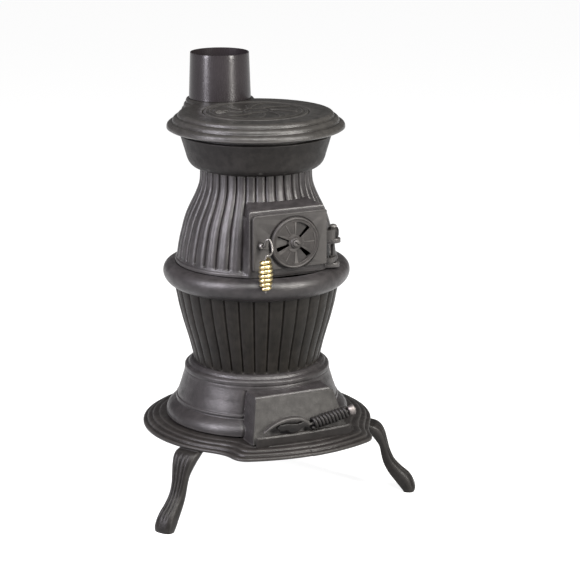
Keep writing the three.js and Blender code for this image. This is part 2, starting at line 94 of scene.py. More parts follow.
def rounded(points, radius=1.5, steps=4, closed=False):
    """The corners of a path made round. A point may carry its own radius as a third number."""
    n = len(points)
    out = []
    for i in range(n):
        p = np.array(points[i][:2], float)
        r = points[i][2] if len(points[i]) > 2 else radius
        if (not closed and i in (0, n - 1)) or r <= 0:
            out.append(p)
            continue
        a = np.array(points[i - 1][:2], float)
        b = np.array(points[(i + 1) % n][:2], float)
        da, db = a - p, b - p
        la, lb = np.linalg.norm(da), np.linalg.norm(db)
        if la < 1e-6 or lb < 1e-6:
            out.append(p)
            continue
        cosine = np.clip(np.dot(da, db) / (la * lb), -1, 1)
        half = math.acos(cosine) / 2
        t = min(r / max(math.tan(half), 1e-3), la * 0.49, lb * 0.49)
        qa, qb = p + da / la * t, p + db / lb * t
        for k in range(steps + 1):
            s = k / steps
            out.append((1 - s) ** 2 * qa + 2 * s * (1 - s) * p + s * s * qb)
    return np.array(out)


# ------------------------------------------------------------------ mesh makers
def grid_faces(rows, cols, close_rows=False, close_cols=True, start=0):
    r = np.arange(rows if close_rows else rows - 1)
    c = np.arange(cols if close_cols else cols - 1)
    i, j = np.meshgrid(r, c, indexing="ij")
    i2, j2 = (i + 1) % rows, (j + 1) % cols
    q = np.stack([i * cols + j, i * cols + j2, i2 * cols + j2, i2 * cols + j], -1)
    return [tuple(int(x) for x in f) for f in (q.reshape(-1, 4) + start)]


class Solid:
    """Points in millimetres and the faces between them."""

    def __init__(self, verts, faces):
        self.verts = np.asarray(verts, float).reshape(-1, 3)
        self.faces = list(faces)

    def moved(self, matrix):
        m = np.array(matrix, float)
        return Solid(self.verts @ m[:3, :3].T + m[:3, 3], self.faces)

    def __add__(self, other):
        n = len(self.verts)
        return Solid(np.vstack([self.verts, other.verts]),
                     self.faces + [tuple(i + n for i in f) for f in other.faces])


THETA = np.linspace(0, TAU, 240, endpoint=False)


def revolve(rows, theta=THETA, centre=(0.0, 0.0), loop=True):
    """Rings of [radius, height] round a vertical line. radius and height may vary round the ring.
    A loop closes on itself; otherwise each end is closed with one flat face, or with a point at radius 0."""
    n = len(theta)
    s, c = np.sin(theta), -np.cos(theta)
    rings, poles = [], {}
    for k, (r, z) in enumerate(rows):
        if np.isscalar(r) and r == 0:
            poles[k] = z
            continue
        ring = np.empty((n, 3))
        ring[:, 0] = centre[0] + r * s
        ring[:, 1] = centre[1] + r * c
        ring[:, 2] = z
        rings.append(ring)
    verts = np.concatenate(rings)
    m = len(rings)
    faces = grid_faces(m, n, close_rows=loop)
    if not loop:
        verts = list(verts)
        if 0 in poles:
            verts.append((centre[0], centre[1], poles[0]))
            p = len(verts) - 1
            faces += [(p, (j + 1) % n, j) for j in range(n)]
        else:
            faces.append(tuple(range(n - 1, -1, -1)))
        if (len(rows) - 1) in poles:
            verts.append((centre[0], centre[1], poles[len(rows) - 1]))
            p, b = len(verts) - 1, (m - 1) * n
            faces += [(p, b + j, b + (j + 1) % n) for j in range(n)]
        else:
            faces.append(tuple((m - 1) * n + j for j in range(n)))
    return Solid(verts, faces)


def turned_y(rows, x, z, count=64, loop=False):
    """Rings of [radius, y] round the line along Y through (x, z). y falls from the first row to the last."""
    s = revolve([(r, -y) for r, y in rows], np.linspace(0, TAU, count, endpoint=False), loop=loop)
    v = s.verts
    # the turning line goes from Z to -Y
    s.verts = np.stack([x + v[:, 0], -v[:, 2], z + v[:, 1]], 1)
    return s


def prism(outline, lo, hi, plane="z"):
    """A flat outline made thick: plane z takes (x, y), plane y takes (x, z), plane x takes (y, z)."""
    p = np.asarray(outline, float)[:, :2]
    n = len(p)
    area = np.sum(p[:, 0] * np.roll(p[:, 1], -1) - np.roll(p[:, 0], -1) * p[:, 1])
    if area < 0:
        p = p[::-1]
    def put(h):
        if plane == "z":
            return np.stack([p[:, 0], p[:, 1], np.full(n, h)], 1)
        if plane == "x":
            return np.stack([np.full(n, h), p[:, 0], p[:, 1]], 1)
        return np.stack([p[:, 0], np.full(n, h), p[:, 1]], 1)
    a, b = put(lo), put(hi)
    faces = [tuple(range(n - 1, -1, -1)), tuple(range(n, 2 * n))]
    faces += [(i, (i + 1) % n, n + (i + 1) % n, n + i) for i in range(n)]
    if plane == "y":
        faces = [f[::-1] for f in faces]
    return Solid(np.vstack([a, b]), faces)


def block(x0, x1, y0, y1, z0, z1):
    return prism([(x0, y0), (x1, y0), (x1, y1), (x0, y1)], z0, z1)


def loft(sections):
    """Skin over closed sections with the same number of points, with a flat face at each end."""
    s = np.asarray(sections, float)
    m, n = s.shape[:2]
    faces = grid_faces(m, n)
    faces += [tuple(range(n - 1, -1, -1)), tuple((m - 1) * n + j for j in range(n))]
    return Solid(s.reshape(-1, 3), faces)


def sweep(path, radius, sides=12, caps=True, dome=True):
    """A round bar along a path; radius may vary along it. The frame turns as little as it can."""
    p = np.asarray(path, float)
    r = np.broadcast_to(np.asarray(radius, float), (len(p),)).copy()
    t = np.gradient(p, axis=0)
    t /= np.linalg.norm(t, axis=1)[:, None]
    if dome:
        # a round nose at each end
        a = np.linspace(0, math.pi / 2, 5)[1:]
        head = [p[0] - t[0] * r[0] * math.sin(x) for x in a[::-1]]
        tail = [p[-1] + t[-1] * r[-1] * math.sin(x) for x in a]
        rh = [max(r[0] * math.cos(x), r[0] * 0.08) for x in a[::-1]]
        rt = [max(r[-1] * math.cos(x), r[-1] * 0.08) for x in a]
        p = np.vstack([head, p, tail])
        r = np.concatenate([rh, r, rt])
        t = np.vstack([[t[0]] * len(a), t, [t[-1]] * len(a)])
    up = np.array([0.0, 0.0, 1.0]) if abs(t[0][2]) < 0.9 else np.array([1.0, 0.0, 0.0])
    u = np.cross(t[0], up)
    u /= np.linalg.norm(u)
    ang = np.linspace(0, TAU, sides, endpoint=False)
    rings = []
    for k in range(len(p)):
        u = u - np.dot(u, t[k]) * t[k]
        u /= np.linalg.norm(u)
        v = np.cross(t[k], u)
        rings.append(p[k] + r[k] * (np.cos(ang)[:, None] * u + np.sin(ang)[:, None] * v))
    return loft(rings)


def helix(a, b, radius, wire, turns, per_turn=28, sides=10, start=0.0, ends=None):
    """A wound wire from a to b. radius is a function of the share along it."""
    a, b = np.array(a, float), np.array(b, float)
    d = b - a
    d /= np.linalg.norm(d)
    u = np.cross(d, [0, 0, 1.0]) if abs(d[2]) < 0.9 else np.cross(d, [0, 1.0, 0])
    u /= np.linalg.norm(u)
    v = np.cross(d, u)
    s = np.linspace(0, 1, int(turns * per_turn) + 1)
    ang = start + TAU * turns * s
    r = np.array([radius(x) for x in s])
    path = a + (b - a) * s[:, None] + r[:, None] * (np.cos(ang)[:, None] * u + np.sin(ang)[:, None] * v)
    if ends is not None:
        path = np.vstack([*(np.atleast_2d(e) for e in ends[0]), path, *(np.atleast_2d(e) for e in ends[1])])
    return sweep(path, wire, sides)


def sheet_plate(outline, holes, y_front, y_back, bevel, steps=2):
    """A flat plate in the (x, z) plane with rounded edges all round and at its holes."""
    data = bpy.data.curves.new("plate", "CURVE")
    data.dimensions = "2D"
    data.fill_mode = "BOTH"
    thick = y_back - y_front
    data.extrude = thick / 2 - bevel
    data.bevel_depth = bevel
    data.bevel_resolution = steps
    data.offset = -bevel
    for loop in [outline, *holes]:
        sp = data.splines.new("POLY")
        sp.points.add(len(loop) - 1)
        for q, (x, z) in zip(sp.points, np.asarray(loop)[:, :2]):
            q.co = (x, z, 0, 1)
        sp.use_cyclic_u = True
    ob = bpy.data.objects.new("plate", data)
    bpy.context.scene.collection.objects.link(ob)
    bpy.context.view_layer.update()
    me = bpy.data.meshes.new_from_object(ob.evaluated_get(bpy.context.evaluated_depsgraph_get()))
    bm = bmesh.new()
    bm.from_mesh(me)
    bmesh.ops.remove_doubles(bm, verts=bm.verts, dist=1e-3)
    bmesh.ops.recalc_face_normals(bm, faces=bm.faces)
    v = np.array([x.co for x in bm.verts], float)
    f = [tuple(x.index for x in face.verts) for face in bm.faces]
    bm.free()
    bpy.data.objects.remove(ob)
    bpy.data.curves.remove(data)
    bpy.data.meshes.remove(me)
    mid = (y_front + y_back) / 2
    return Solid(np.stack([v[:, 0], mid - v[:, 2], v[:, 1]], 1), f)


def sector(r0, r1, a0, a1, cx, cz, corner=2.0, grow=0.0):
    """An outline of a ring sector with round corners, in the (x, z) plane."""
    pts = []
    r0, r1 = r0 - grow, r1 + grow
    da = grow
    for a in np.linspace(a0 - math.degrees(da / r1), a1 + math.degrees(da / r1), 15):
        pts.append((cx + r1 * math.cos(rad(a)), cz + r1 * math.sin(rad(a)), 0 if a0 < a < a1 else corner))
    for a in np.linspace(a1 + math.degrees(da / max(r0, 6)), a0 - math.degrees(da / max(r0, 6)), 9):
        pts.append((cx + r0 * math.cos(rad(a)), cz + r0 * math.sin(rad(a)), 0 if a0 < a < a1 else corner))
    return rounded(pts, 0, 4, closed=True)


def circle(r, cx, cz, count=32):
    a = np.linspace(0, TAU, count, endpoint=False)
    return np.stack([cx + r * np.cos(a), cz + r * np.sin(a)], 1)


def polar_root(field, theta, z, lo=40.0, hi=420.0):
    """The radius where field(x, y, z) turns from inside to outside, along each direction."""
    s, c = np.sin(theta), -np.cos(theta)
    a, b = np.full_like(theta, lo), np.full_like(theta, hi)
    for _ in range(34):
        m = (a + b) / 2
        inside = field(m * s, m * c, z) < 0
        a, b = np.where(inside, m, a), np.where(inside, b, m)
    return a


# ------------------------------------------------------------------ objects
scene = bpy.context.scene


def raw_object(name, solid):
    me = bpy.data.meshes.new(name)
    me.from_pydata([tuple(v) for v in (solid.verts + AXIS) * 0.001], [], solid.faces)
    me.update()
    ob = bpy.data.objects.new(name, me)
    scene.collection.objects.link(ob)
    return ob


def carve(name, base, adds=(), cuts=()):
    """Joins and cuts closed solids into one clean solid."""
    ob = raw_object(name, base)
    tools = []
    for kind, parts in (("UNION", adds), ("DIFFERENCE", cuts)):
        for part in parts:
            t = raw_object("tool", part)
            tools.append(t)
            m = ob.modifiers.new("cut", "BOOLEAN")
            m.operation, m.object, m.solver = kind, t, "MANIFOLD"
    dg = bpy.context.evaluated_depsgraph_get()
    me = bpy.data.meshes.new_from_object(ob.evaluated_get(dg))
    ob.modifiers.clear()
    old = ob.data
    ob.data = me
    me.name = name
    bpy.data.meshes.remove(old)
    for t in tools:
        d = t.data
        bpy.data.objects.remove(t)
        bpy.data.meshes.remove(d)
    return ob


def finish_piece(ob, material, body, stands_for=(), sharp=32.0, weighted=False):
    me = ob.data
    bm = bmesh.new()
    bm.from_mesh(me)
    bmesh.ops.remove_doubles(bm, verts=bm.verts, dist=2e-6)
    bmesh.ops.dissolve_degenerate(bm, edges=bm.edges, dist=1e-6)
    bmesh.ops.recalc_face_normals(bm, faces=bm.faces)
    open_edges = sum(1 for e in bm.edges if len(e.link_faces) != 2)
    volume = bm.calc_volume(signed=True)
    if volume < 0:
        bmesh.ops.reverse_faces(bm, faces=bm.faces)
    bm.to_mesh(me)
    bm.free()
    if open_edges:
        print("open edges:", ob.name, open_edges)
    me.materials.clear()
    me.materials.append(material)
    for p in me.polygons:
        p.use_smooth = True
    me.set_sharp_from_angle(angle=rad(sharp))
    if weighted:
        w = ob.modifiers.new("normals", "WEIGHTED_NORMAL")
        w.keep_sharp = True
    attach(ob, body)
    if stands_for:
        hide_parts(*stands_for)
    return ob


# ------------------------------------------------------------------ materials
def new_material(name):
    m = bpy.data.materials.new(name)
    m.use_nodes = True
    nt = m.node_tree
    nt.nodes.clear()
    out = nt.nodes.new("ShaderNodeOutputMaterial")
    bs = nt.nodes.new("ShaderNodeBsdfPrincipled")
    nt.links.new(bs.outputs[0], out.inputs[0])
    co = nt.nodes.new("ShaderNodeTexCoord")
    return m, nt, bs, co.outputs["Object"]


def noise(nt, vec, scale, detail=3.0, rough=0.55, distortion=0.0, stretch=None):
    if stretch is not None:
        mp = nt.nodes.new("ShaderNodeMapping")
        mp.inputs["Scale"].default_value = stretch
        nt.links.new(vec, mp.inputs["Vector"])
        vec = mp.outputs[0]
    n = nt.nodes.new("ShaderNodeTexNoise")
    n.inputs["Scale"].default_value = scale
    n.inputs["Detail"].default_value = detail
    n.inputs["Roughness"].default_value = rough
    n.inputs["Distortion"].default_value = distortion
    nt.links.new(vec, n.inputs["Vector"])
    return n.outputs[0]


def ramp(nt, fac, stops):
    r = nt.nodes.new("ShaderNodeValToRGB")
    e = r.color_ramp.elements
    while len(e) < len(stops):
        e.new(0.5)
    for el, (pos, col) in zip(e, stops):
        el.position = pos
        el.color = (*col, 1) if len(col) == 3 else col
    nt.links.new(fac, r.inputs[0])
    return r.outputs[0]


def mix(nt, fac, a, b, kind="MIX"):
    m = nt.nodes.new("ShaderNodeMix")
    m.data_type = "RGBA"
    m.blend_type = kind
    for sock, val in ((m.inputs[0], fac), (m.inputs[6], a), (m.inputs[7], b)):
        if hasattr(val, "links"):
            nt.links.new(val, sock)
        else:
            sock.default_value = val if not isinstance(val, tuple) else (*val, 1) if len(val) == 3 else val
    return m.outputs[2]


def rescale(nt, val, a, b, c, d):
    m = nt.nodes.new("ShaderNodeMapRange")
    for s, x in zip(m.inputs[1:5], (a, b, c, d)):
        s.default_value = x
    nt.links.new(val, m.inputs[0])
    return m.outputs[0]


def bump(nt, bs, heights):
    last = None
    for h, strength, dist in heights:
        b = nt.nodes.new("ShaderNodeBump")
        b.inputs["Strength"].default_value = strength
        b.inputs["Distance"].default_value = dist
        nt.links.new(h, b.inputs["Height"])
        if last is not None:
            nt.links.new(last, b.inputs["Normal"])
        last = b.outputs[0]
    nt.links.new(last, bs.inputs["Normal"])


def cast_iron(name, dark, light, rough=0.42, spec=0.6, edge_wear_and_highlight=0.35, grain=1.0, rubbed_edge_and_highlight_colour=(0.13, 0.125, 0.12)):
    """Stove polish over sand-cast iron: mottled near-black, a fine grain, and lighter edges that are partly rubbed wear
    and partly a painted edge highlight.
    """
    m, nt, bs, co = new_material(name)
    broad = noise(nt, co, 14, 3, 0.6)
    mid = noise(nt, co, 70, 4, 0.6)
    fine = noise(nt, co, 620, 2, 0.6)
    pits = noise(nt, co, 1500, 1, 0.5)
    c = ramp(nt, broad, [(0.3, dark), (0.72, light)])
    c = mix(nt, rescale(nt, mid, 0.38, 0.66, 0.0, 0.75), c, tuple(x * 0.55 for x in dark), "MIX")
    # partly painted highlight: convex edges are mixed towards a lighter colour, part rubbed wear of the polish and part
    # standing in for edge highlights
    geo = nt.nodes.new("ShaderNodeNewGeometry")
    edge = rescale(nt, geo.outputs["Pointiness"], 0.505, 0.58, 0.0, edge_wear_and_highlight)
    c = mix(nt, edge, c, rubbed_edge_and_highlight_colour)
    nt.links.new(c, bs.inputs["Base Color"])
    r = rescale(nt, mid, 0.3, 0.75, rough - 0.05, rough + 0.08)
    nt.links.new(r, bs.inputs["Roughness"])
    bs.inputs["Specular IOR Level"].default_value = spec
    bs.inputs["Metallic"].default_value = 0.0
    bump(nt, bs, [(mid, 0.24 * grain, 0.0020), (fine, 0.42 * grain, 0.0009), (pits, 0.16 * grain, 0.0003)])
    return m


def metal(name, dark, light, rough, scale=60, stretch=(1, 1, 1), grain=0.1, tarnish=0.5):
    m, nt, bs, co = new_material(name)
    a = noise(nt, co, scale, 4, 0.6)
    b = noise(nt, co, scale * 7, 3, 0.6, stretch=stretch)
    c = ramp(nt, a, [(0.3, dark), (0.3 + 0.45 * tarnish, light)])
    nt.links.new(c, bs.inputs["Base Color"])
    nt.links.new(rescale(nt, b, 0.3, 0.7, rough - 0.05, rough + 0.07), bs.inputs["Roughness"])
    bs.inputs["Metallic"].default_value = 1.0
    bump(nt, bs, [(b, grain, 0.0002)])
    return m


iron_body = cast_iron("stove_black_iron", (0.0100, 0.0090, 0.0092), (0.0190, 0.0173, 0.0178), rough=0.36, spec=0.235, edge_wear_and_highlight=0.22)
# painted shade: a darker copy of the body iron, standing for the shade under the flaring smoke bowl
iron_bowl_painted_shade = cast_iron("smoke_bowl_iron_painted_shade", (0.0050, 0.0044, 0.0041), (0.0092, 0.0083, 0.0078), rough=0.46, spec=0.12, edge_wear_and_highlight=0.12)
# painted shade: a darker copy of the body iron, standing for the shade on the downward-sloping fire pot
iron_pot_painted_shade = cast_iron("fire_pot_iron_painted_shade", (0.0050, 0.0044, 0.0037), (0.0092, 0.0081, 0.0069), rough=0.42, spec=0.11, edge_wear_and_highlight=0.08)
iron_door = cast_iron("fire_door_iron", (0.0080, 0.0073, 0.0072), (0.0138, 0.0128, 0.0127), rough=0.42, spec=0.12, edge_wear_and_highlight=0.25)
iron_face = cast_iron("ash_door_iron", (0.0085, 0.0079, 0.0073), (0.0135, 0.0129, 0.0120), rough=0.46, spec=0.10, edge_wear_and_highlight=0.12)
iron_plate = cast_iron("hearth_plate_iron", (0.0068, 0.0059, 0.0056), (0.0120, 0.0108, 0.0102), rough=0.37, spec=0.145, edge_wear_and_highlight=0.15)
# painted shade: a darker copy of the body iron, standing for the shade on the legs under the hearth plate
iron_leg_painted_shade = cast_iron("leg_iron_painted_shade", (0.0048, 0.0043, 0.0040), (0.0092, 0.0084, 0.0080), rough=0.40, spec=0.115, edge_wear_and_highlight=0.15)
iron_top = cast_iron("cook_top_iron", (0.0085, 0.0079, 0.0073), (0.0165, 0.0155, 0.0143), rough=0.35, spec=0.20, edge_wear_and_highlight=0.25)
iron_wheel = cast_iron("draft_wheel_iron", (0.0115, 0.0103, 0.0099), (0.0200, 0.0182, 0.0174), rough=0.42, spec=0.15, edge_wear_and_highlight=0.3)
iron_grate = cast_iron("grate_iron", (0.012, 0.0105, 0.0095), (0.034, 0.026, 0.020), rough=0.7, spec=0.2, edge_wear_and_highlight=0.1, grain=2.0)
iron_tool = cast_iron("lifter_iron", (0.009, 0.0082, 0.0080), (0.020, 0.0186, 0.0178), rough=0.42, spec=0.20, edge_wear_and_highlight=0.3)
# near-black: the lifter coil's own colour, also used as painted shade on the hinge sleeve and the lifter hook
coil_black_and_painted_shade = cast_iron("black_coil_wire_and_painted_shade", (0.0030, 0.0026, 0.0026), (0.006, 0.0054, 0.0052), rough=0.40, spec=0.14, edge_wear_and_highlight=0.05)


def pipe_material():
    """Black-coated sheet steel pipe: smooth, with a faint drawn grain along it."""
    m, nt, bs, co = new_material("flue_pipe_steel")
    broad = noise(nt, co, 9, 2, 0.5)
    grain = noise(nt, co, 160, 3, 0.6, stretch=(6, 6, 0.35))
    c = ramp(nt, broad, [(0.3, (0.0055, 0.0046, 0.0050)), (0.7, (0.0092, 0.0077, 0.0085))])
    c = mix(nt, rescale(nt, grain, 0.35, 0.7, 0.0, 0.3), c, (0.014, 0.012, 0.013))
    nt.links.new(c, bs.inputs["Base Color"])
    nt.links.new(rescale(nt, grain, 0.3, 0.7, 0.23, 0.29), bs.inputs["Roughness"])
    bs.inputs["Specular IOR Level"].default_value = 0.26
    bump(nt, bs, [(grain, 0.06, 0.0004), (noise(nt, co, 700, 2), 0.05, 0.0002)])
    return m


steel_pipe = pipe_material()
brass = metal("coil_brass", (0.20, 0.155, 0.072), (0.46, 0.385, 0.21), 0.30, scale=120, tarnish=0.7)
nickel = metal("bright_nickel", (0.04, 0.038, 0.036), (0.12, 0.115, 0.11), 0.42, scale=220, tarnish=0.8)
zinc = metal("fastener_steel", (0.15, 0.145, 0.14), (0.34, 0.33, 0.32), 0.42, scale=180, tarnish=0.8)
black_bolt = cast_iron("pin_steel", (0.007, 0.0065, 0.0065), (0.016, 0.015, 0.015), rough=0.42, spec=0.35)

# ------------------------------------------------------------------ flutes
POT_FLUTES, FEED_FLUTES = 34, 36
PHASES = np.array([-0.5, -0.475, -0.45, -0.42, -0.385, -0.34, -0.285, -0.225, -0.165, -0.11, -0.055, 0.0,
                   0.055, 0.11, 0.165, 0.225, 0.285, 0.34, 0.385, 0.42, 0.45, 0.475])


def flute_angles(count, extra=()):
    a = (np.arange(count)[:, None] + PHASES[None, :]).ravel() * TAU / count
    a = np.concatenate([a % TAU, np.array(list(extra)) % TAU])
    a = np.unique(np.round(a, 7))
    keep = np.concatenate([[True], np.diff(a) > 1e-4])
    return a[keep]


def phase(theta, count):
    p = theta / TAU * count
    return p - np.round(p)


# ------------------------------------------------------------------ fire pot
def make_fire_pot():
    line = catmull([(131, 288.0), (132.9, 296.6), (135, 305.4), (139.2, 322.8), (143.9, 340.3), (149, 357.7), (154, 375),
                    (158.4, 392.3), (162.6, 409.6), (165.9, 427), (168.9, 442), (171, 456.0)], 60)
    theta = flute_angles(POT_FLUTES)
    ph = np.abs(phase(theta, POT_FLUTES))
    groove = 2.7 * np.exp(-((0.5 - ph) / 0.065) ** 2) + 2.2 * (2 * ph) ** 2.2
    rows = []
    for r, z in line:
        fade = smooth((z - 288.0) / 5) * 0.92 + 0.08
        rows.append((r - groove * fade, z))
    rows[0] = (rows[0][0] - 0.8, 288.0)
    inner = [(r - 8, z) for r, z in line[::-6]]
    inner[0] = (163, 456.0)
    inner[-1] = (123, 288.0)
    s = revolve(rows + inner, theta)
    return finish_piece(raw_object("fire_pot_casting", s), iron_pot_painted_shade, "stove_body", ["fire_pot"], sharp=50)


# ------------------------------------------------------------------ waist ring
def make_waist_ring():
    outer = catmull([(171.9, 452.9), (174.5, 452.7), (179.5, 455.0), (185.2, 459.8), (190.0, 466.3), (192.7, 473.5), (193.2, 480.0),
                     (191.6, 487.0), (187.2, 493.2), (181.5, 496.8), (175.0, 498.6), (169.6, 499.0)], 44)
    rows = [tuple(p) for p in outer] + [(169.0, 498.5), (169.0, 494.1), (160.3, 494.0), (160.3, 456.4), (171.7, 456.4)]
    s = revolve(rows)
    return finish_piece(raw_object("waist_ring_casting", s), iron_body, "stove_body", ["waist_ring"])


# ------------------------------------------------------------------ feed section
PIN = (108.5, -136.5)
FEED_LINE = [(168.4, 494.3), (168.4, 506.5), (165.3, 509.5), (162.5, 529.7), (159.3, 546.7), (155, 563.6), (150.7, 580.6),
             (145, 597.5), (137.6, 614), (129.1, 631), (121.8, 648), (117.8, 660), (115.9, 672), (115.3, 684.0), (115.2, 696.0)]
FRONT = 151.0


def make_feed_section():
    body = catmull(FEED_LINE[2:], 90)
    body_r = lambda z: float(np.interp(z, body[:, 1], body[:, 0]))
    left, right = -rad(33.6), rad(33.0)
    edge_l, edge_r = -math.atan2(84.6, FRONT), math.atan2(80.0, FRONT)
    tight = np.radians([-2.6, -2.0, -1.5, -1.1, -0.75, -0.45, -0.2, 0.0, 0.2, 0.45, 0.75, 1.1, 1.5, 2.0, 2.6])
    theta = flute_angles(FEED_FLUTES, np.concatenate([edge_l + tight, edge_r + tight, left + tight * 0.6, right + tight * 0.6]))
    signed = (theta + math.pi) % TAU - math.pi
    ph = np.abs(phase(theta, FEED_FLUTES))
    s, c = np.sin(theta), np.cos(theta)
    sector_in = (signed > left) & (signed < right)

    def wall(xe, ye, xb, yb):
        """The radius at which each direction meets the line from (xe, -ye) to (xb, -yb)."""
        dx, dy = xb - xe, yb - ye
        den = s * dy - c * dx
        out = (xe * dy - ye * dx) / np.where(np.abs(den) < 1e-9, 1e-9, den)
        return np.where(out > 0, out, 1e4)

    def box_r(r, front, k=4.0, xl=84.6):
        """The flat front with its two side walls, which end on the barrel of radius r."""
        flat = front / np.maximum(c, 0.2)
        wl = wall(-xl, front, r * math.sin(left), r * math.cos(left))
        wr = wall(80.0, front, r * math.sin(right), r * math.cos(right))
        wl = np.where(signed < 0, wl, 1e4)
        wr = np.where(signed > 0, wr, 1e4)
        return smin(smin(flat, wl, k), wr, k)

    def merged(r0, box, k=1.5):
        near = smooth(np.minimum(signed - left, right - signed) / rad(3.0))
        mixed = smax(box, r0, k)
        return np.where(sector_in, mixed + (box - mixed) * near, r0 + (smax(box, r0, k) - r0) * smooth(1 - np.minimum(np.abs(signed - left), np.abs(signed - right)) / rad(1.5)))

    def barrel(z):
        fade = smooth((z - 510.5) / 4)
        groove = 3.9 * (2 * ph) ** 2.5 + 2.6 * np.exp(-((0.5 - ph) / 0.06) ** 2) + 0.5 * np.exp(-(ph / 0.12) ** 2)
        return body_r(z) - groove * fade

    def outer(z):
        r0 = barrel(z)
        if z >= 645.4:
            return r0
        round_l = lambda h: 84.6 - (6.0 - math.sqrt(max(0.0, 36.0 - max(0.0, h - 630.0) ** 2)))
        top = box_r(body_r(636), FRONT - 1.1, xl=round_l(636))
        if z <= 636.0:
            front = FRONT - 1.1 * max(0.0, (z - 633.4) / 2.6) ** 2
            return merged(r0, box_r(body_r(z), front, xl=round_l(z)))
        share = (z - 636.0) / 9.0
        share = 0.90 * share + 0.10 * share ** 2
        roof = top + (body_r(645.0) + 0.2 - top) * share
        return merged(r0, roof)

    full = np.ones_like(theta)
    # the foot stands back from the band above it, which leaves a dark gap over the ring
    foot = np.where(np.abs(signed) < rad(36), np.minimum(163.6, 142.5 / np.maximum(c, 0.2)), 163.6)
    rows = [(foot - 1.0, 494.3), (foot, 495.3), (foot, 500.3)]
    for z, r, front in ((500.7, 167.4, FRONT - 1.0), (501.3, 168.4, FRONT - 0.2), (502.5, 168.4, FRONT), (505.6, 168.4, FRONT), (506.6, 168.0, FRONT),
                        (507.6, 167.0, FRONT), (508.4, 166.0, FRONT), (509.4, 165.4, FRONT)):
        rows.append((merged(r * full, box_r(r, front)), z))
    zs = np.concatenate([np.linspace(510.4, 516, 6), np.linspace(519, 628, 37), [630, 631.5, 633.0, 634.2, 635.0, 635.6, 636.0, 636.5], np.linspace(638, 645, 7),
                         [645.45, 646.2], np.linspace(648, 696, 18)])
    for z in zs:
        rows.append((outer(z), z))
    core = [(106.6, 696.0), (106.6, 672), (108.5, 658), (117, 638), (126.6, 620.5), (127.2, 619.0), (127.4, 618.5), (130, 613.5), (145, 571), (151.5, 544),
            (157.9, 511.5), (158.1, 510.0), (158.6, 505), (159.2, 500), (159.6, 494.3)]
    inside_front = (FRONT - 7.0) / np.maximum(c, 0.2)
    for r, z in core:
        ri = np.where(np.abs(signed) < rad(40), np.minimum(r, inside_front - (7.5 / np.maximum(c, 0.2) if z < 506 else 0.0)), r)
        if 510.5 < z < 618.8:
            pocket = np.minimum(inside_front, np.where(signed < 0, 79.0, 73.0) / np.maximum(np.abs(s), 0.05))
            ri = np.where(np.abs(signed) < rad(36), np.maximum(ri, pocket), ri)
        rows.append((ri, z))
    base = revolve(rows, theta)
    adds = []
    for z0, z1, x0, y0, x1, y1, er in ((502, 511.7, 84, -146, 99, -127, 12.5), (552.5, 561.5, 78, -149, 91, -119, 14.5)):
        ear = rounded([(x0, y0, 0)] + [(109.5 + er * math.sin(a), -136.5 - er * math.cos(a), 0) for a in np.linspace(-0.2, math.pi + 0.2, 22)] + [(x1, y1, 0)], 0, 3, closed=True)
        adds.append(soften(prism(ear, z0, z1), 1.1))
    hole = rounded([(-72, 525.5, 4), (73, 525.5, 4), (73, 607.5, 4), (-72, 607.5, 4)], 4, 5, closed=True)
    cuts = [prism(hole, -170, -110, plane="y"),
            revolve([(4.0, 490), (4.0, 600)], np.linspace(0, TAU, 24, endpoint=False), centre=PIN, loop=False)]
    ob = carve("feed_section_casting", base, adds, cuts)
    return finish_piece(ob, iron_body, "stove_body", ["feed_section"], sharp=38)


def soften(solid, width, segments=2):
    """The solid with its sharp edges rounded off."""
    ob = raw_object("soften", solid)
    bm = bmesh.new()
    bm.from_mesh(ob.data)
    edges = [e for e in bm.edges if len(e.link_faces) == 2 and e.calc_face_angle(0) > rad(35)]
    bmesh.ops.bevel(bm, geom=edges, offset=width * 0.001, segments=segments, profile=0.5, affect="EDGES", clamp_overlap=True)
    v = np.array([x.co for x in bm.verts], float) * 1000 - AXIS
    f = [tuple(x.index for x in face.verts) for face in bm.faces]
    bm.free()
    d = ob.data
    bpy.data.objects.remove(ob)
    bpy.data.meshes.remove(d)
    return Solid(v, f)


# ------------------------------------------------------------------ smoke bowl
def make_smoke_bowl():
    low = rounded([(114.6, 696.3, 0), (121.5, 696.4, 3), (129.5, 699.3, 6), (134.5, 703.6, 6), (138.2, 708.6, 6), (141.4, 716, 4)], 2, 5)
    high = catmull([(141.4, 716), (144.6, 727.5), (148.9, 742), (152.6, 754.5), (155.0, 762.0)], 14)
    line = np.vstack([low, high[1:], [(155.2, 763.0), (154.6, 763.8), (149.6, 764.6), (149.0, 765.4), (149.0, 769.7)]])
    theta = np.linspace(0, TAU, 360, endpoint=False)
    rows = []
    for r, z in line:
        if z < 697:
            rows.append((np.full_like(theta, r), z))
            continue
        rl = np.interp(z, [700, 733, 769.7], [36, 62, 72]) * smooth((z - 690) / 12)
        def field(x, y, zz, r=r, rl=rl):
            t = np.clip(y, 60, 176)
            return smin(np.hypot(x, y) - r, np.hypot(x, y - t) - rl, 9.0)
        # the lobe grows out of the bowl as it rises
        full = polar_root(field, theta, z, 60, 330)
        share = smooth((z - 697) / 9)
        rows.append((r + (np.maximum(full, r) - r) * share, z))
    inner = [(144.5, 769.7), (144.0, 756), (134, 720), (129, 710), (120.5, 702.8), (107, 699.6), (106.6, 696.3)]
    base = revolve(rows + inner, theta)
    hollow = revolve([(0, 708), (30, 708), (55, 739), (64.5, 775), (0, 775)], np.linspace(0, TAU, 48, endpoint=False), centre=(0, 176), loop=False)
    neck = block(-30, 30, 100, 176, 712, 766)
    ob = carve("smoke_bowl_casting", base, [], [hollow, neck])
    return finish_piece(ob, iron_bowl_painted_shade, "stove_body", ["smoke_bowl"], sharp=50)


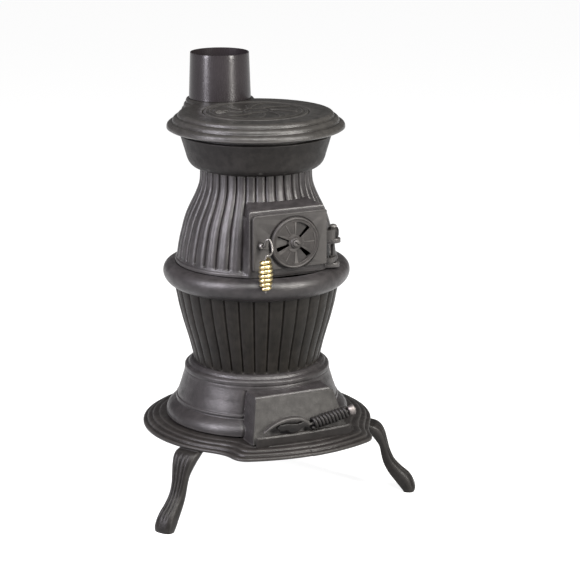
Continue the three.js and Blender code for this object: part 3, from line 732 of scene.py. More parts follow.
# ------------------------------------------------------------------ cook top
def bead(r0, z0, r1, z1, n=7, bulge=1.0):
    """A quarter-round step from (r0, z0) up and inwards to (r1, z1)."""
    a = np.linspace(0, math.pi / 2, n)
    return [(r1 + (r0 - r1) * math.cos(x) ** (1 / bulge), z0 + (z1 - z0) * math.sin(x) ** (1 / bulge)) for x in a]


def make_cook_top():
    line = rounded([(159.5, 770.0, 0), (160.5, 773.6, 1.5), (177.6, 773.9, 2.0), (182, 776.8, 2.6)], 1, 4).tolist()
    line += bead(182, 779.5, 171.6, 789.0, 10)
    line += [(170.9, 789.0)] + bead(170.2, 790.2, 160.6, 799.4, 9)
    line += [(160.0, 799.7)] + bead(159.4, 800.8, 150.5, 808.3, 9)
    line2 = np.array(line)
    theta = np.linspace(0, TAU, 480, endpoint=False)
    # how far each row lies inside the widest line, used for the lobe as well
    rows = []
    for r, z in line2:
        inset = 182 - r
        def field(x, y, zz, r=r, inset=inset):
            return smin(np.hypot(x, y) - r, np.hypot(x, y - 182) - (82 - inset * 0.42), 7.0)
        rows.append((polar_root(field, theta, z, 80, 330), z))
    flat_r = rows[-1][0]
    for t in (0.25, 0.6, 1.0):
        rows.append((flat_r + (140 - flat_r) * t if t < 1 else np.full_like(theta, 122.0), 808.3))
    rows += [(111.8, 808.3), (110.6, 808.0), (109.6, 807.2), (109.0, 805.6), (108.5, 804.0), (108.5, 800.0), (97, 800.0), (97, 792), (112, 792), (118, 799), (140, 799), (148, 790), (147.5, 770.0)]
    rows = [(r if not np.isscalar(r) else np.full_like(theta, float(r)), z) for r, z in rows]
    base = revolve(rows, theta)
    small = np.linspace(0, TAU, 96, endpoint=False)
    spigot = revolve([(54, 795), (62, 795), (62, 806), (61.6, 830.8), (61.2, 832), (59.0, 832), (54, 832)], small, centre=(0, 182), loop=True)
    lobe_low = revolve([(0, 760), (64, 760), (62, 795), (0, 795)], small, centre=(0, 178), loop=False)
    bore = revolve([(57.5, 750), (57.5, 850)], small, centre=(0, 182), loop=False)
    ob = carve("cook_top_casting", base, [spigot], [lobe_low, bore])
    return finish_piece(ob, iron_top, "stove_body", ["cook_top"], sharp=40)


def make_cook_lid():
    theta = np.linspace(0, TAU, 360, endpoint=False)
    az = theta  # from the front towards +X
    radii = np.concatenate([np.linspace(106.0, 92, 18), np.linspace(91, 6, 76)])

    def height(r, a):
        h = np.zeros_like(a)
        h = h - 1.1 * np.exp(-((r - 99.0) / 1.5) ** 2)                        # a groove inside the edge
        h = h + 0.9 * np.exp(-((r - 94.0) / 1.9) ** 2)                        # a bead next to it
        h = h + 1.0 * np.exp(-((r - 24.0) / 1.8) ** 2)                        # a bead round the boss
        h = h + 0.9 * smooth((16.0 - r) / 4)
        # eight curved leaves between the two beads
        twist = a + 0.0085 * (r - 30)
        leaf = np.cos(8 * twist)
        body = smooth((leaf - 0.05) / 0.35) * smooth((r - 29) / 5) * smooth((88 - r) / 5)
        vein = np.exp(-((1 - leaf) / 0.012) ** 2)
        return h + body * (1.25 - 0.55 * vein)

    rows = [(0, 800.3), (60, 800.3), (105.5, 800.3), (107.2, 800.9), (107.7, 802.0), (107.7, 804.5), (107.3, 806.4), (106.9, 807.6)]
    rows = [(r if np.isscalar(r) and r == 0 else np.full_like(theta, float(r)), z) for r, z in rows]
    for r in radii:
        rows.append((np.full_like(theta, r), 808.2 + height(r, az) * 1.6))
    rows.append((0, 808.2 + 1.4))
    base = revolve(rows, theta, loop=False)
    pocket = soften(block(-82, -52, 6, 22, 804, 815), 2.0, 3)
    ob = carve("cook_lid_casting", base, [], [pocket])
    return finish_piece(ob, iron_top, "lid", ["cook_lid"], sharp=45)


# ------------------------------------------------------------------ flue pipe
def make_flue_pipe():
    z0, z1, r0, r1 = 808.6, 905.0, 65.5, 62.0
    at = lambda z: r0 + (r1 - r0) * (z - z0) / (z1 - z0)
    rows = [(at(z0) - 0.5, z0), (at(z0), z0 + 0.6)]
    rows += [(at(z), z) for z in np.linspace(z0 + 3, z1 - 2, 16)]
    rows += [(r1 - 0.1, z1 - 0.5), (r1 - 0.6, z1), (r1 - 1.4, z1), (r1 - 1.9, z1 - 0.5), (r0 - 2.0, z0 + 0.6), (r0 - 1.5, z0)]
    s = revolve(rows, np.linspace(0, TAU, 160, endpoint=False), centre=(0, 182))
    return finish_piece(raw_object("flue_pipe_sheet", s), steel_pipe, "stove_body", ["flue_pipe"])


# ------------------------------------------------------------------ hearth plate
def plate_field(x, y, z=0):
    round_ = np.hypot(x, y) - 240
    front = np.hypot(x, y - 107) - 373
    ledge = smax(smax(front, np.where(x > 0, x - 161, -x - 153), 24), y + 120, 5)
    return smin(round_, ledge, np.where(x > 0, 44.0, 26.0) if np.ndim(x) else 26.0)


LEG_AZ = (-60, 60, 180)
PIT_BOLT_AZ = (-112, 112, 180)


def make_base_plate():
    theta = np.linspace(0, TAU, 720, endpoint=False)
    edge = [(3.0, 150.5), (1.0, 150.7), (0.15, 151.6), (0.0, 153.2), (0.2, 155.0), (1.3, 156.5), (3.4, 157.3), (6.6, 157.5), (8.3, 157.8),
            (9.0, 158.8), (9.2, 160.6), (10.1, 162.0), (12.0, 162.9), (16.5, 163.1), (19.0, 163.4),
            (19.9, 164.3), (20.2, 165.6), (21.2, 166.8), (23.2, 167.5), (30.0, 167.6), (32.8, 167.9),
            (33.8, 168.6), (34.3, 169.4), (35.6, 170.1), (38.0, 170.3)]
    under = [(5.0, 150.5), (9.0, 150.6), (10.0, 151.4), (10.6, 153.3), (27.0, 153.5), (28.2, 154.6), (28.8, 159.4), (30.5, 160.0)]
    cache = {}

    def contour(inset):
        if inset not in cache:
            cache[inset] = polar_root(lambda x, y, z: plate_field(x, y) + inset, theta, 0, 60, 330)
        return cache[inset]

    rows = [(np.full_like(theta, 30.0), 160.0), (np.full_like(theta, 120.0), 160.0)]
    rows += [(contour(i), z) for i, z in under[::-1]]
    rows += [(contour(i), z) for i, z in edge]
    rows += [(contour(60.0), 170.3), (np.full_like(theta, 120.0), 170.3), (np.full_like(theta, 30.0), 170.3)]
    base = revolve(rows, theta, loop=False)
    # kerb in front of the ash door, with a rounded top
    cx = np.concatenate([np.linspace(-102, -98.5, 9), np.linspace(-92, 99, 24), np.linspace(105.5, 109, 9)])
    prof = rounded([(0.6, 166, 0), (0.2, 171.5, 2), (0, 186, 3.0), (3.2, 190, 3.2), (6.4, 190, 2.6), (8.9, 187.5, 2), (8.9, 166, 0)], 1, 4)
    sec = []
    for x in cx:
        y0 = -226.5 + 0.00045 * x * x
        end = min(abs(x + 102), abs(109 - x))
        k = math.sqrt(max(0.0, 1 - (1 - min(end / 3.5, 1)) ** 2))
        lo = 1.6 * (1 - k)
        ring = []
        for d, z in prof:
            zz = z if z < 172 else 172 + (z - 172) * (1 - 0.14 * (1 - k))
            ring.append((x, y0 + lo + d * (8.9 - 2 * lo) / 8.9 * ((-217.6 - y0) / 8.9), zz))
        sec.append(ring[::-1])
    kerb = loft(sec)
    adds = [kerb]
    cuts = []
    for az in LEG_AZ:
        turn = Matrix.Rotation(rad(az - 90), 4, "Z")
        adds.append(soften(block(190, 229, -27, 27, 150.6, 162), 1.0).moved(turn))
        x, y = 208 * math.sin(rad(az)), -208 * math.cos(rad(az))
        cuts.append(revolve([(4.3, 140), (4.3, 159)], np.linspace(0, TAU, 24, endpoint=False), centre=(x, y), loop=False))
    for az in PIT_BOLT_AZ:
        x, y = 162 * math.sin(rad(az)), -162 * math.cos(rad(az))
        cuts.append(revolve([(4.3, 140), (4.3, 180)], np.linspace(0, TAU, 24, endpoint=False), centre=(x, y), loop=False))
    ob = carve("hearth_plate_casting", base, adds, cuts)
    return finish_piece(ob, iron_plate, "stove_body", ["base_plate"], sharp=42)


# ------------------------------------------------------------------ ash pit
SLOPE = 0.38
N_LEN = math.hypot(1, SLOPE)
face_y = lambda z: -183 - SLOPE * (258 - z)
rim_y = lambda z: face_y(z) + 6.3 * N_LEN


def make_ash_pit():
    bell = catmull([(187.0, 170.6), (187.6, 172.0), (190.2, 172.8), (190.6, 176), (189.6, 183), (186.6, 189.5), (181.0, 195.6), (175.6, 200.0), (172.2, 202.6)], 16).tolist()
    bell += rounded([(172.2, 202.6, 0), (170.0, 203.6, 1.5), (169.4, 206.2, 1.5), (170.4, 208.2, 1.6), (169.6, 211.5, 1.6), (167.4, 212.6, 1.2), (166.6, 215.2, 1.5), (165.6, 219, 0)], 1, 3).tolist()[1:]
    bell += catmull([(165.6, 219), (163.2, 226), (160.0, 235), (157.4, 244), (154.8, 252.5), (152.6, 260), (151.6, 265.5)], 14).tolist()[1:]
    bell += rounded([(151.6, 265.5, 0), (150.6, 267.8, 1.2), (151.4, 270.4, 2.0), (150.8, 276.2, 3.2), (147.0, 279.4, 3.0), (143.6, 280.4, 1.5), (141.0, 284.8, 3.0), (137.2, 287.7, 1.5), (134, 287.7, 0)], 1, 4).tolist()[1:]
    bell = np.array(bell)
    corner = math.atan2(95, 205)
    fine = np.radians(np.concatenate([np.arange(-9, 9.01, 0.4)]))
    theta = np.unique(np.round(np.concatenate([np.linspace(0, TAU, 360, endpoint=False), (corner + fine) % TAU, (-corner + fine) % TAU]), 6))
    keep = np.concatenate([[True], np.diff(theta) > 2e-3])
    theta = theta[keep]
    rows = []
    zs = bell[:, 1]
    extra = []
    for (ra, za), (rb, zb) in zip(bell[:-1], bell[1:]):
        extra.append((ra, za))
        n = int(abs(zb - za) // 3.2)
        for k in range(1, n + 1):
            t = k / (n + 1)
            extra.append((ra + (rb - ra) * t, za + (zb - za) * t))
    extra.append(tuple(bell[-1]))
    cut = [(float(np.interp(h, [252.5, 260, 265.5], [154.8, 152.6, 151.6])), h) for h in (258.0, 258.7, 259.3, 259.8, 260.2, 260.4, 260.5, 260.6)]
    extra = [e for e in extra if e[1] < 257.6] + cut + [e for e in extra if e[1] > 261.2]
    for r, z in extra:
        half = np.interp(z, [169.6, 258, 275], [105, 84, 81])
        if z <= 258:
            front = -rim_y(z)
        else:
            front = -rim_y(258) - np.interp(z, [258, 258.7, 259.3, 259.8, 260.2, 260.4, 260.5], [0, 0.3, 1.2, 2.6, 4.7, 7.5, 12.0])
            half = half - np.interp(z, [258, 259, 259.8, 260.2, 260.5], [0, 0.3, 1.2, 2.4, 5.0])
        def field(x, y, zz, r=r, half=half, front=front, z=z):
            b = smax(smax(np.abs(x) - half, -y - front, 3.0), y + 60, 3.0)
            bell_side = np.hypot(x, y) - r
            return smin(bell_side, b, 0.8) + 3.4 * np.exp(-((bell_side - b) / 2.6) ** 2) * np.where(y < -60, 1.0, 0.0)
        rows.append((polar_root(field, theta, z, 60, 300) if z < 260.51 else np.full_like(theta, r), z))
    base = revolve([(np.full_like(theta, 60.0), 170.6)] + rows + [(np.full_like(theta, 112.0), 287.7), (np.full_like(theta, 60.0), 287.7)], theta, loop=False)
    big = np.linspace(0, TAU, 180, endpoint=False)
    inside = revolve([(112, 300), (112, 281.5), (134, 280), (149, 242), (158, 213), (165, 199), (182, 178), (183, 165)][::-1], big, loop=False)
    side = [(-262, 150), (-262, 251), (rim_y(251) + 2, 251), (-150, 254), (-100, 254), (-100, 150)]
    front = [(-98.8, 160), (-77, 252), (-75, 270), (75, 270), (77, 252), (98.8, 160)]
    a = raw_object("cavity", prism(side, -120, 120, plane="x"))
    b = raw_object("cavity_b", prism(front, -300, -60, plane="y"))
    m = a.modifiers.new("both", "BOOLEAN")
    m.operation, m.object, m.solver = "INTERSECT", b, "MANIFOLD"
    me = bpy.data.meshes.new_from_object(a.evaluated_get(bpy.context.evaluated_depsgraph_get()))
    cavity = Solid(np.array([v.co for v in me.vertices], float) * 1000 - AXIS, [tuple(p.vertices) for p in me.polygons])
    for o in (a, b):
        bpy.data.objects.remove(o)
    adds, cuts = [], [inside, cavity]
    ob = carve("ash_pit_casting", base, [], cuts)
    # lugs for the bolts that hold it down
    lugs = []
    for az in PIT_BOLT_AZ:
        turn = Matrix.Rotation(rad(az - 90), 4, "Z")
        lugs.append(block(150, 184, -11, 11, 170.6, 181.5).moved(turn))
    holes = []
    for az in PIT_BOLT_AZ:
        x, y = 162 * math.sin(rad(az)), -162 * math.cos(rad(az))
        holes.append(revolve([(4.3, 160), (4.3, 190)], np.linspace(0, TAU, 24, endpoint=False), centre=(x, y), loop=False))
    body = Solid(np.array([v.co for v in ob.data.vertices], float) * 1000 - AXIS, [tuple(p.vertices) for p in ob.data.polygons])
    d = ob.data
    bpy.data.objects.remove(ob)
    bpy.data.meshes.remove(d)
    ob = carve("ash_pit_casting", body, lugs, holes)
    return finish_piece(ob, iron_body, "stove_body", ["ash_pit"], sharp=42)


def make_ash_door():
    # built lying in its own plane: x across, v up the slope, w outwards
    drop = (258 - 173.2) * N_LEN
    outline = rounded([(-86, 0, 2.0), (-107, -drop, 1.5), (107, -drop, 1.5), (86, 0, 2.0)], 2, 4, closed=True)
    s = sheet_plate(outline, [], 0.0, 6.0, 1.2, 2)
    v = s.verts  # x, y (front 0 to back 6), z along the slope
    up = np.array([0, SLOPE, 1]) / N_LEN
    out = np.array([0, -1, SLOPE]) / N_LEN
    origin = np.array([0, -183, 258]) - 0 * out
    p = origin + v[:, [0]] * np.array([1.0, 0, 0]) + v[:, [2]] * up - v[:, [1]] * out
    return finish_piece(raw_object("ash_door_plate", Solid(p, s.faces)), iron_face, "ash_front", ["ash_door"])


# ------------------------------------------------------------------ legs
LEG = np.array([
    [244, 150.0, 220, 146.0, 27], [255, 148, 231, 137, 27], [264.5, 140.5, 240.5, 128, 25.5], [271.5, 126.5, 251, 114.5, 22.5],
    [276.2, 109, 259, 101, 19.5], [281.3, 90, 262.5, 84, 17], [290.8, 69, 268, 63, 16.5], [307.5, 51, 279, 42, 17.5],
    [323.5, 37, 292, 25.5, 19.5], [332.8, 21, 303, 12.5, 21], [336.5, 7, 309.5, 4, 21], [334.8, 0, 312, 0, 20]], float)


def make_leg(index, az, name):
    table = np.stack([np.interp(np.linspace(0, len(LEG) - 1, 400), np.arange(len(LEG)), LEG[:, k]) for k in range(5)], 1)
    # smooth each column along the leg, then take even stations
    pts = catmull(LEG[:, :], 84)
    # across the front face: four ribs with three grooves between them
    w = np.concatenate([np.linspace(-0.92, 0.92, 41)])
    groove = sum(np.exp(-((w - c) / 0.085) ** 2) for c in (-0.46, 0.0, 0.46))
    sections = []
    n = len(pts)
    for i, (ro, zo, ri, zi, h) in enumerate(pts):
        zo, zi = max(zo, 0.0), max(zi, 0.0)
        o, b = np.array([ro, zo]), np.array([ri, zi])
        depth = np.linalg.norm(b - o)
        d = (b - o) / depth
        fade = smooth((i - 5) / 8) * smooth((n - 9 - i) / 10)
        ring = []
        for k, ww in enumerate(w):                      # the front, from one side to the other
            back = 0.30 * depth * abs(ww) ** 3.2 + 2.0 * groove[k] * fade
            q = o + d * back
            ring.append((q[0], ww * h, q[1]))
        for t in (0.42, 0.55, 0.68, 0.8, 0.9):          # one side
            q = o + d * depth * t
            ring.append((q[0], h * (1.0 - 0.35 * max(t - 0.68, 0)), q[1]))
        for ww in np.linspace(0.84, -0.84, 11):         # the back
            q = o + d * depth * (1.0 - 0.05 * abs(ww) ** 4)
            ring.append((q[0], ww * h, q[1]))
        for t in (0.9, 0.8, 0.68, 0.55, 0.42):
            q = o + d * depth * t
            ring.append((q[0], -h * (1.0 - 0.35 * max(t - 0.68, 0)), q[1]))
        sections.append(ring[::-1])
    base = loft(sections)
    if Solid_volume(base) < 0:
        base = Solid(base.verts, [f[::-1] for f in base.faces])
    flange = soften(block(195, 240, -24, 24, 143, 150.0), 1.5)
    hole = revolve([(4.3, 130), (4.3, 160)], np.linspace(0, TAU, 24, endpoint=False), centre=(208, 0), loop=False)
    turn = Matrix.Rotation(rad(az - 90), 4, "Z")
    ob = carve(name + "_casting", base.moved(turn), [flange.moved(turn)], [hole.moved(turn)])
    return finish_piece(ob, iron_leg_painted_shade, "stove_body", [name], sharp=48)


def Solid_volume(s):
    total = 0.0
    v = s.verts
    for f in s.faces:
        a = v[f[0]]
        for i in range(1, len(f) - 1):
            total += np.dot(a, np.cross(v[f[i]], v[f[i + 1]])) / 6
    return total


# ------------------------------------------------------------------ fire door
WX, WZ = 11.2, 567.0
LX, LZ = -62.0, 567.5


def make_fire_door():
    outline = rounded([(-79, 514.5, 6), (84, 514.5, 3), (84, 627.5, 4), (-79, 627.5, 11)], 4, 7, closed=True)
    holes = [sector(14.5, 43, a, b, WX, WZ, 1.5) for a, b in ((-49, 47), (92, 160), (193, 266))]
    holes += [circle(4.3, WX, WZ), circle(5.3, LX, LZ)]
    plate = sheet_plate(outline, holes, -158.3, -151.3, 1.3, 2)
    adds = []
    for z0, z1, kr in ((512.0, 525.5, 8.0), (561.8, 583.5, 8.0)):
        k = rounded([(0, z0, 0), (kr, z0, 1.5), (kr, z1, 2.2), (0, z1, 0)], 1.5, 3)
        rows = [(float(r), float(z)) for r, z in k]
        adds.append(revolve(rows, np.linspace(0, TAU, 40, endpoint=False), centre=PIN, loop=False))
        strap = [(73, -157.9), (96, -157.9), (103.5, -153.5), (115.6, -140.0), (102.5, -133.6), (100.5, -142.5), (97, -151.4), (73, -151.4)]
        adds.append(soften(prism(rounded(strap, 2.0, 3, closed=True), max(z0, 515.2), z1 - (0.8 if z1 > 570 else 0.5)), 0.9))
    bore = revolve([(4.0, 490), (4.0, 600)], np.linspace(0, TAU, 24, endpoint=False), centre=PIN, loop=False)
    moat = turned_y([(0, -100), (0, -100)][:0] + [(51.0, -156.2), (56.2, -156.2), (56.2, -165), (51.0, -165)], WX - 1.2, WZ - 1.4, 96, loop=True)
    ob = carve("fire_door_plate", plate, adds, [flip_if(moat), bore])
    finish_piece(ob, iron_door, "door", ["fire_door"], sharp=42, weighted=True)
    # painted shade: a thick near-black sleeve round the upper knuckle, standing for the shade the knuckle sits in
    sleeve = rounded([(8.05, 563.2, 0.2), (10.4, 563.2, 1.2), (11.9, 568.5, 4), (11.9, 577.5, 4), (9.6, 583.4, 2.0), (8.05, 583.4, 0.2)], 1.5, 4, closed=True)
    sleeve = revolve([(float(a), float(b)) for a, b in sleeve], np.linspace(0, TAU, 48, endpoint=False), centre=PIN, loop=True)
    return finish_piece(raw_object("fire_door_hinge_painted_shade_sleeve", flip_if(sleeve)), coil_black_and_painted_shade, "door", ["fire_door"], sharp=45)


def make_draft_wheel():
    outline = circle(51.6, WX, WZ, 120)
    holes = [sector(14.5, 42.5, a - 23, a + 23, WX, WZ, 2.2) for a in (64, 179, 301)] + [circle(4.3, WX, WZ)]
    plate = sheet_plate(outline, holes, -164.0, -160.9, 0.35, 2)
    rim = [(float(r), float(y)) for r, y in rounded([(52, -158.7, 0.5), (52, -164.0, 1.6), (49.6, -165.8, 1.8), (47.2, -164.6, 1.4), (46.3, -162, 0.6), (46.3, -158.7, 0.5)], 1, 4, closed=True)]
    rim = turned_y(rim, WX, WZ, 120, loop=True)
    hub = [(float(r), float(y)) for r, y in rounded([(4.3, -158.7, 0), (11.5, -158.7, 0.5), (11.5, -164.6, 1.2), (9.6, -167.5, 2.2), (4.3, -167.5, 0.6)], 1, 4, closed=True)]
    hub = turned_y(hub, WX, WZ, 64, loop=True)
    cuts = []
    for a in (0, 120, 240):
        pan = sector(18.5, 43, a - 27, a + 27, WX, WZ, 2.5)
        cuts.append(prism(pan, -166.0, -163.0, plane="y"))
    adds = [rim, hub]
    for a in (0, 120, 240):                              # a rib down the middle of each panel
        c, s = math.cos(rad(a)), math.sin(rad(a))
        pts = [(WX + c * r - s * w, WZ + s * r + c * w) for r, w in ((12, -1.3), (41.5, -1.0), (41.5, 1.0), (12, 1.3))]
        adds.append(soften(prism(pts, -164.0, -161.4, plane="y"), 0.45))
    first = carve("wheel_base", plate, [], cuts)
    body = Solid(np.array([v.co for v in first.data.vertices], float) * 1000 - AXIS, [tuple(p.vertices) for p in first.data.polygons])
    d = first.data
    bpy.data.objects.remove(first)
    bpy.data.meshes.remove(d)
    ob = carve("draft_wheel_casting", body, adds, [])
    return finish_piece(ob, iron_wheel, "wheel", ["draft_wheel"], sharp=40, weighted=True)


def make_wheel_screw():
    rows = [(0, -167.8), (6.4, -167.8), (7.1, -168.1), (7.3, -168.8), (6.9, -170.0), (5.7, -171.0), (3.3, -171.4), (0, -171.5)]
    head = turned_y(rows, WX, WZ, 40)
    slot = block(WX - 5.5, WX + 5.5, -176, -169.0, WZ - 1.2, WZ + 1.2)
    tilt = Matrix.Translation((WX, 0, WZ)) @ Matrix.Rotation(rad(35), 4, "Y") @ Matrix.Translation((-WX, 0, -WZ))
    shank = turned_y([(0, -143), (3.4, -143), (4.0, -143.7), (4.0, -168.5), (0, -168.5)], WX, WZ, 24)
    ob = carve("wheel_screw_head", flip_if(head), [flip_if(shank)], [slot.moved(tilt)])
    return finish_piece(ob, iron_wheel, "door", ["wheel_screw"], sharp=40)


def flip_if(s):
    return s if Solid_volume(s) > 0 else Solid(s.verts, [f[::-1] for f in s.faces])


def hex_prism(r, lo, hi, centre, bore=0.0, axis="z", turn=0.0):
    """A hexagonal nut or bolt head with chamfered corners. r is across the corners, halved."""
    n = 72
    a = np.linspace(0, TAU, n, endpoint=False)
    k = np.cos(rad(30)) / np.cos((a + turn) % rad(60) - rad(30))
    flat = r * k
    ch = r * 0.93
    rows = [(np.minimum(flat, ch), lo), (np.minimum(flat, ch + 0.4), lo + 0.25), (flat, lo + 0.9), (flat, hi - 0.9),
            (np.minimum(flat, ch + 0.4), hi - 0.25), (np.minimum(flat, ch), hi)]
    if bore > 0:
        rows = rows + [(np.full(n, bore + 0.5), hi), (np.full(n, bore), hi - 0.5), (np.full(n, bore), lo + 0.5), (np.full(n, bore + 0.5), lo)]
    s = revolve(rows, a, centre=(0, 0), loop=bore > 0)
    v = s.verts
    if axis == "z":
        v = v + np.array([centre[0], centre[1], 0])
    else:  # along y: lo and hi are -y
        v = np.stack([centre[0] + v[:, 0], -v[:, 2], centre[1] + v[:, 1]], 1)
    return flip_if(Solid(v, s.faces))


def make_fasteners():
    names = ("left", "right", "rear")
    for i, az in enumerate(PIT_BOLT_AZ):
        x, y = 162 * math.sin(rad(az)), -162 * math.cos(rad(az))
        head = hex_prism(7.5, 153, 159.7, (x, y))
        shank = revolve([(4.0, 156), (4.0, 189.8), (3.4, 190.5)], np.linspace(0, TAU, 24, endpoint=False), centre=(x, y), loop=False)
        ob = carve("pit_bolt_" + names[i] + "_steel", head, [shank])
        finish_piece(ob, zinc, "stove_body", ["pit_bolt_" + names[i]], sharp=35)
        nut = hex_prism(7.5, 181.8, 188, (x, y), bore=4.3)
        finish_piece(raw_object("pit_nut_" + names[i] + "_steel", nut), zinc, "stove_body", ["pit_nut_" + names[i]], sharp=35)
    for name, az in (("front_left", -60), ("front_right", 60), ("rear", 180)):
        x, y = 208 * math.sin(rad(az)), -208 * math.cos(rad(az))
        head = hex_prism(7.5, 136, 142.7, (x, y))
        shank = revolve([(4.0, 140), (4.0, 158), (3.5, 158.5)], np.linspace(0, TAU, 24, endpoint=False), centre=(x, y), loop=False)
        ob = carve("leg_bolt_" + name + "_steel", head, [shank])
        finish_piece(ob, zinc, "stove_body", ["leg_bolt_" + name], sharp=35)
    finish_piece(carve("grate_bolt_steel", hex_prism(11, 296.3, 301, (0, 0)), [revolve([(5, 270), (5, 298)], np.linspace(0, TAU, 24, endpoint=False), loop=False)]),
                 zinc, "stove_body", ["grate_bolt"], sharp=35)
    finish_piece(raw_object("grate_nut_steel", hex_prism(10, 273.5, 279.7, (0, 0), bore=5.3)), zinc, "stove_body", ["grate_nut"], sharp=35)
    finish_piece(raw_object("wheel_nut_steel", hex_prism(7.5, 145.5, 151, (WX, WZ), bore=4.3, axis="y")), zinc, "door", ["wheel_nut"], sharp=35)
    finish_piece(raw_object("latch_nut_steel", hex_prism(8.5, 131, 136.2, (LX, LZ), bore=5.3, axis="y")), zinc, "latch", ["latch_nut"], sharp=35)


def make_hinge_pin():
    rows = [(0, 500.5), (3.1, 500.5), (3.7, 501.2), (3.7, 583.9), (6.6, 583.9), (7.6, 584.5), (7.8, 586.3), (7.0, 588.1), (5.0, 589.6), (2.4, 590.3), (0, 590.5)]
    s = revolve(rows, np.linspace(0, TAU, 32, endpoint=False), centre=PIN, loop=False)
    return finish_piece(raw_object("hinge_pin_steel", s), black_bolt, "stove_body", ["hinge_pin"])


# ------------------------------------------------------------------ latch
CX, CY = -70.0, -197.0


def make_latch():
    shaft = turned_y([(0, -129), (4.4, -129), (5, -129.8), (5, -158.7), (6.6, -158.7), (7.2, -159.3), (7.2, -164.5), (6.4, -166.6), (4.8, -168), (0, -168)], LX, LZ, 48)
    finish_piece(raw_object("latch_shaft_turned", flip_if(shaft)), nickel, "latch", ["latch_shaft"])
    path = catmull([(LX + 1, -171, LZ + 2), (-59, -176, 580.5), (-54.5, -180, 584), (-51.5, -185, 575), (-52.5, -190.5, 562), (-59, -195, 556.8), (-67.5, -197, 556), (CX, CY, 550)], 60)
    path = np.vstack([[(LX, -167.0, LZ - 1)], path, [(CX, CY, 540), (CX, CY, 500), (CX, CY, 482)]])
    rod = sweep(path, 2.3, 14)
    finish_piece(raw_object("latch_rod_wire", flip_if(rod)), nickel, "latch", ["latch_rod"], sharp=60)
    barrel = lambda s: 5.2 + 5.4 * math.sin(math.pi * (0.06 + 0.88 * s)) ** 0.7
    coil = helix((CX, CY, 490.0), (CX, CY, 548.0), barrel, 4.25, 6.5, per_turn=32, sides=14, start=0.6)
    finish_piece(raw_object("latch_coil_wire", flip_if(coil)), brass, "latch", ["latch_coil"], sharp=60)
    tongue = soften(prism(rounded([(LX - 7, LZ + 7, 4), (LX - 7, LZ - 14, 3), (LX + 7, LZ - 14, 3), (LX + 7, LZ + 7, 4)], 3, 4, closed=True), -143.2, -136.5, plane="y"), 0.8)
    bore = turned_y([(5.3, -125), (5.3, -155)], LX, LZ, 24)
    ob = carve("latch_tongue_forged", flip_if(tongue), [], [flip_if(bore)])
    finish_piece(ob, zinc, "latch", ["latch_tongue"], sharp=38)


# ------------------------------------------------------------------ lid lifter
def make_lifter():
    la, lb = np.array([15, -224, 203.5]), np.array([101, -226, 220.0])
    lu = (lb - la) / np.linalg.norm(lb - la)
    along = lambda t: la + lu * t
    row = catmull([[-86, 199.5, 2.0, 3.5], [-76, 206, 3.0, 5], [-62, 213.2, 3.8, 6], [-44, 218.6, 4.2, 6.5], [-24, 220.0, 4.4, 7], [-6, 217.0, 4.6, 7], [4, 211.6, 5.0, 7], [12, 206.0, 5.2, 6.5]], 40)
    sections = []
    ang = np.linspace(0, TAU, 24, endpoint=False)
    for x, z, h, w in row:
        ca, sa = np.cos(ang), np.sin(ang)
        yy = np.sign(ca) * np.abs(ca) ** 0.6 * w
        zz = np.sign(sa) * np.abs(sa) ** 0.7 * h
        sections.append(np.stack([np.full_like(yy, x), -222 + yy, z + zz], 1))
    blade = flip_if(loft(sections))
    hook = soften(prism(rounded([(-53, 211.8, 2), (-60, 204.5, 4), (-50, 197.5, 4), (-38, 199.0, 3), (-31, 192.6, 4), (-12, 192.6, 4), (-2, 200, 4), (10, 200.8, 3), (10, 207.5, 2), (-2, 211.6, 3), (-16, 209.0, 6), (-34, 212.0, 6)], 3, 4, closed=True), -228, -217.5, plane="y"), 1.6, 3)
    rod = flip_if(sweep([along(t) for t in np.linspace(-8, 101.5, 14)], 3.0, 14))
    finish_piece(carve("lifter_shank_forged", blade, [rod]), iron_tool, "lifter", ["lifter_shank"], sharp=45)
    # painted shade: the hook under the blade is near-black, standing for the shadow beneath the arched blade
    finish_piece(carve("lifter_hook_painted_shade", flip_if(hook), [], [blade, rod]), coil_black_and_painted_shade, "lifter", ["lifter_shank"], sharp=45)
    coil = helix(along(4.2), along(83.0), lambda s: 9.6 - 0.5 * (2 * s - 1) ** 2, 3.6, 10.5, per_turn=30, sides=12, start=1.0)
    finish_piece(raw_object("lifter_coil_wire", flip_if(coil)), coil_black_and_painted_shade, "lifter", ["lifter_coil"], sharp=60)
    prof = rounded([(3.3, 86.4, 0.4), (8.4, 86.4, 0.8), (9.4, 88.2, 1.0), (10.0, 90, 1.5), (11.4, 97.2, 1.6), (10.4, 99.6, 1.0), (3.3, 99.6, 0.4)], 1, 3, closed=True)
    u = np.cross(lu, [0, 0, 1.0]); u /= np.linalg.norm(u)
    v = np.cross(lu, u)
    th = np.linspace(0, TAU, 40, endpoint=False)
    verts = np.concatenate([along(t) + r * (np.cos(th)[:, None] * u + np.sin(th)[:, None] * v) for r, t in prof])
    cap = flip_if(Solid(verts, grid_faces(len(prof), 40, close_rows=True)))
    finish_piece(raw_object("lifter_cap_turned", cap), nickel_dull, "lifter", ["lifter_cap"])


nickel_dull = metal("cap_nickel", (0.085, 0.078, 0.075), (0.15, 0.137, 0.134), 0.50, scale=150, tarnish=0.8)


